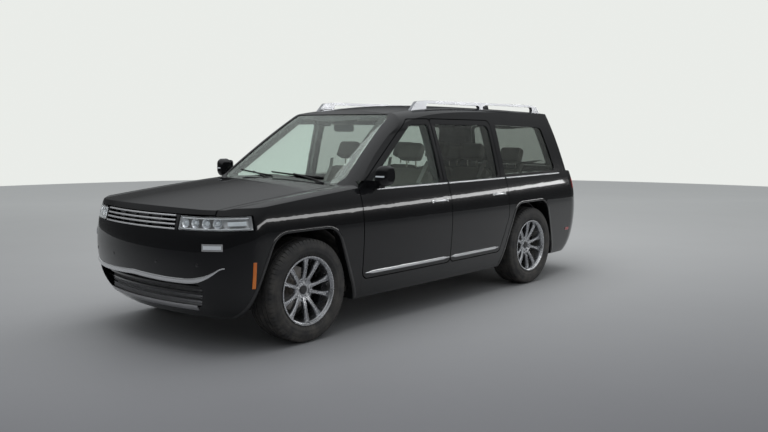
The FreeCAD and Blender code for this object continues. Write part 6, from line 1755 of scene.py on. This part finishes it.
class VEHICLE_OT_door_cards(bpy.types.Operator):
    """Trim inside the doors: padded card, armrest, pull, lever, window switches, speaker and pocket."""

    bl_idname = "vehicle.door_cards"
    bl_label = "Door cards"

    def execute(self, context):
        inward = np.array([0.0, -1.0, 0.0])
        for end, x0, x1 in (("front", 0.13, 0.98), ("rear", -0.52, -0.16)):
            node = f"{end}_door_left"
            body = f"{end}_door_{{side}}"
            hits, normals = door_card(x0, x1, [node], 1.02, 0.5)
            level = np.nanmedian(hits[..., 1])
            hits[..., 1] = np.clip(hits[..., 1], level - 0.01, level + 0.01)
            normals = np.broadcast_to(inward, hits.shape)
            card = shell(hits, normals, 0.014, -0.004)
            both(f"{end}_door_card", card, body, FINISH["cabin"], smooth=50)
            middle, length = (x0 + x1) / 2, x1 - x0
            soft = shell(hits[8:12, 3:-3], normals[8:12, 3:-3], 0.019, 0.006)
            both(f"{end}_door_insert", soft, body, FINISH["leather"], smooth=50)
            rest = cushion((length * 0.52, 0.05, 0.055), 0.003, (), 0.4, 0.35, 20, 40)
            rest = rest.moved(middle - 0.02, level - 0.03, 0.83)
            for item in both(f"{end}_door_armrest", rest, body, FINISH["leather"], smooth=70):
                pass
            pull = rounded_path([(middle + length * 0.26, level - 0.006, 0.86),
                                 (middle + length * 0.26, level - 0.045, 0.865),
                                 (middle + length * 0.12, level - 0.045, 0.875),
                                 (middle + length * 0.12, level - 0.006, 0.87)],
                                (0.016, 0.016), 6)
            lever = plate(rounded_rectangle(0.085, 0.026, 0.01, 4),
                          (middle + length * 0.3, level - 0.014, 0.935), (1, 0, 0), (0, 0, 1), 0.008, 0.003)
            both(f"{end}_door_pull", swept(ellipse(0.018, 0.014, 12), pull, (0, 0, 1)) + lever, body,
                 FINISH["chrome"], smooth=45)
            count = 4 if end == "front" else 1
            at = np.array([(middle + length * 0.16 + 0.024 * i, level - 0.032, 0.861) for i in range(count)])
            both(f"{end}_door_switches", blocks(at, (0.017, 0.026, 0.008)), body,
                 FINISH["black"])
            speaker = spun([(-0.004, 0.0), (-0.004, 0.082), (0.006, 0.082), (0.009, 0.078), (0.006, 0.073),
                            (0.004, 0.0)],
                           (x1 - 0.13, level - 0.013, 0.62), (0, -1, 0), 48)
            turn = np.arange(150) * 2.399963
            spread = 0.068 * np.sqrt((np.arange(150) + 0.5) / 150)
            holes = np.stack([x1 - 0.13 + spread * np.cos(turn), np.full(150, level - 0.0178),
                              0.62 + spread * np.sin(turn)], -1)
            both(f"{end}_door_speaker", speaker, body, FINISH["grained"], smooth=35)
            both(f"{end}_door_speaker_holes", blocks(holes, (0.003, 0.0012, 0.003)), body,
                 FINISH["rubber"])
            pocket = plate([(x0 + 0.04, 0.52), (x1 - 0.25, 0.52), (x1 - 0.23, 0.62), (x1 - 0.26, 0.655),
                            (x0 + 0.05, 0.64), (x0 + 0.03, 0.6)], (0, level - 0.013, 0), (1, 0, 0),
                           (0, 0, 1), 0.02, 0.006)
            both(f"{end}_door_pocket", pocket, body, FINISH["cabin"], smooth=35)
        return {"FINISHED"}


class VEHICLE_OT_engine_bay(bpy.types.Operator):
    """Engine cover with its ribs, oil cap, battery, fluid bottles, air box, hoses, hood lining and
    springs."""

    bl_idname = "vehicle.engine_bay"
    bl_label = "Engine bay"

    def execute(self, context):
        low, high = node_box("engine")
        top, x = high[2], (low[0] + high[0]) / 2
        length, width = high[0] - low[0], high[1] - low[1]
        cover = plate(rounded_rectangle(length * 0.92, width * 0.9, 0.06, 7), (x, 0, top - 0.004), (1, 0, 0),
                      (0, 1, 0), 0.05, 0.02)
        ribs = [swept(strip_profile(0.018, 0.006),
                      [(x - length * 0.36, y, top + 0.0455), (x + length * 0.36, y, top + 0.0455)],
                      (0, 0, 1)) for y in np.linspace(-width * 0.3, width * 0.3, 6)]
        add_piece("engine_cover", joined([cover] + ribs), "body",
                  FINISH["grained"], smooth=35)
        cap = spun([(-0.01, 0.0), (-0.01, 0.03), (0.006, 0.031), (0.016, 0.028), (0.018, 0.0)],
                   (x + length * 0.3, width * 0.36, top + 0.045), (0, 0, 1), 24)
        add_piece("oil_cap", cap, "body", FINISH["black"], smooth=35)
        pulleys = [spun([(0.0, 0.0), (0.0, radius), (0.006, radius), (0.008, radius - 0.006),
                         (0.018, radius - 0.006), (0.02, radius), (0.026, radius), (0.026, 0.0)],
                        (high[0] - 0.004, y, z), (1, 0, 0), 36)
                   for y, z,
                   radius in ((0.0, 0.4, 0.085), (0.14, 0.55, 0.06), (-0.15, 0.58, 0.065), (0.0, 0.7, 0.07))]
        add_piece("pulleys", joined(pulleys), "body", FINISH["steel"], smooth=35)
        battery = plate(rounded_rectangle(0.26, 0.17, 0.012, 3), (1.56, 0.42, 0.7), (1, 0, 0),
                        (0, 1, 0), 0.19, 0.006)
        posts = [spun([(0, 0.0), (0, 0.009), (0.018, 0.008), (0.018, 0.0)], (1.56 + s * 0.09, 0.46, 0.888),
                      (0, 0, 1), 16)
                 for s in (-1, 1)]
        add_piece("battery", battery, "body", FINISH["black"], smooth=35)
        add_piece("battery_posts", joined(posts), "body", FINISH["steel"], smooth=35)
        airbox = plate(rounded_rectangle(0.3, 0.22, 0.03, 4), (1.6, -0.42, 0.68), (1, 0, 0),
                       (0, 1, 0), 0.18, 0.018)
        duct = tube(curve([(1.72, -0.4, 0.8), (1.86, -0.36, 0.86), (1.95, -0.24, 0.85), (1.98, -0.1, 0.8)],
                          17), 0.038, 16)
        add_piece("air_box", airbox + duct, "body", FINISH["grained"], smooth=40)
        bottle = spun([(0, 0.0), (0, 0.045), (0.004, 0.05), (0.1, 0.05), (0.115, 0.036), (0.12, 0.03),
                       (0.12, 0.0)],
                      (1.4, 0.5, 0.8), (0, 0, 1), 28)
        add_piece("fluid_bottle", bottle, "body", FINISH["clear"], smooth=35)
        hoses = [tube(curve(points, 21), radius, 12) for radius, points in (
            (0.018, [(2.05, 0.16, 0.62), (2.13, 0.18, 0.7), (2.2, 0.18, 0.74), (2.235, 0.18, 0.74)]),
            (0.018, [(2.05, -0.16, 0.4), (2.13, -0.18, 0.38), (2.2, -0.18, 0.4), (2.235, -0.18, 0.42)]),
            (0.009, [(1.42, 0.46, 0.83), (1.5, 0.3, 0.9), (1.62, 0.24, 0.91), (1.75, 0.27, 0.86)]))]
        add_piece("hoses", joined(hoses), "body", FINISH["rubber"], smooth=45)

        gx, gy = np.meshgrid(np.linspace(1.46, 2.36, 25), np.linspace(-0.6, 0.6, 21), indexing="ij")
        hits, _ = cast(np.stack([gx, gy, np.full(gx.shape, 0.95)], -1), (0, 0, 1), ["hood"])
        hits = filled(hits)
        dimple = 0.004 * (np.sin(gx * 42) * np.sin(gy * 42))[..., None]
        down = np.broadcast_to(np.array([0, 0, -1.0]), hits.shape)
        add_piece("hood_lining", shell(hits + down * (0.004 + dimple), down, 0.008, -0.003), "hood",
                  FINISH["cloth"], smooth=70)

        low, high = node_box("front_struts")
        t = np.linspace(0, 1, 133)
        angle = 11 * math.pi * t
        spring = np.stack([(low[0] + high[0]) / 2 + 0.056 * np.cos(angle),
                           high[1] - 0.042 + 0.056 * np.sin(angle), 0.56 + 0.24 * t], -1)
        both("front_spring", tube(spring, 0.0065, 10), "body", FINISH["steel"], smooth=60)
        path = curve([(1.35, 0.18, 0.2), (0.8, 0.16, 0.205), (0.0, 0.16, 0.21), (-0.9, 0.2, 0.215),
                      (-1.15, 0.24, 0.25)], 41)
        add_piece("exhaust_front_pipe", tube(path, 0.03, 16), "body",
                  FINISH["steel"], smooth=60)
        return {"FINISHED"}


OPERATORS = [
    VEHICLE_OT_finishes, VEHICLE_OT_wheels, VEHICLE_OT_lamps, VEHICLE_OT_front_trim, VEHICLE_OT_side_trim,
    VEHICLE_OT_screens, VEHICLE_OT_rear_trim, VEHICLE_OT_seats, VEHICLE_OT_cabin, VEHICLE_OT_door_cards,
    VEHICLE_OT_engine_bay, VEHICLE_OT_stage,
]


class VEHICLE_PT_looks(bpy.types.Panel):
    """Lists the steps that dress the vehicle, with what can be changed."""

    bl_idname = "VEHICLE_PT_looks"
    bl_label = "Vehicle looks"
    bl_space_type = "VIEW_3D"
    bl_region_type = "UI"
    bl_category = "Vehicle"

    def draw(self, context):
        for operator in OPERATORS:
            self.layout.operator(operator.bl_idname)
        for settings in (design(), stage_design()):
            for key in settings.__annotations__:
                self.layout.prop(settings, key)


CLASSES = [VehicleDesign, StageDesign, *OPERATORS, VEHICLE_PT_looks]


def register():
    for item in CLASSES:
        bpy.utils.register_class(item)
    bpy.types.Scene.vehicle_design = bpy.props.PointerProperty(type=VehicleDesign)
    bpy.types.Scene.vehicle_stage = bpy.props.PointerProperty(type=StageDesign)


def unregister():
    del bpy.types.Scene.vehicle_stage
    del bpy.types.Scene.vehicle_design
    for item in reversed(CLASSES):
        bpy.utils.unregister_class(item)


def main():
    register()
    for operator in OPERATORS:
        getattr(bpy.ops.vehicle, operator.bl_idname.split(".")[1])()


if __name__ == "__main__":
    main()
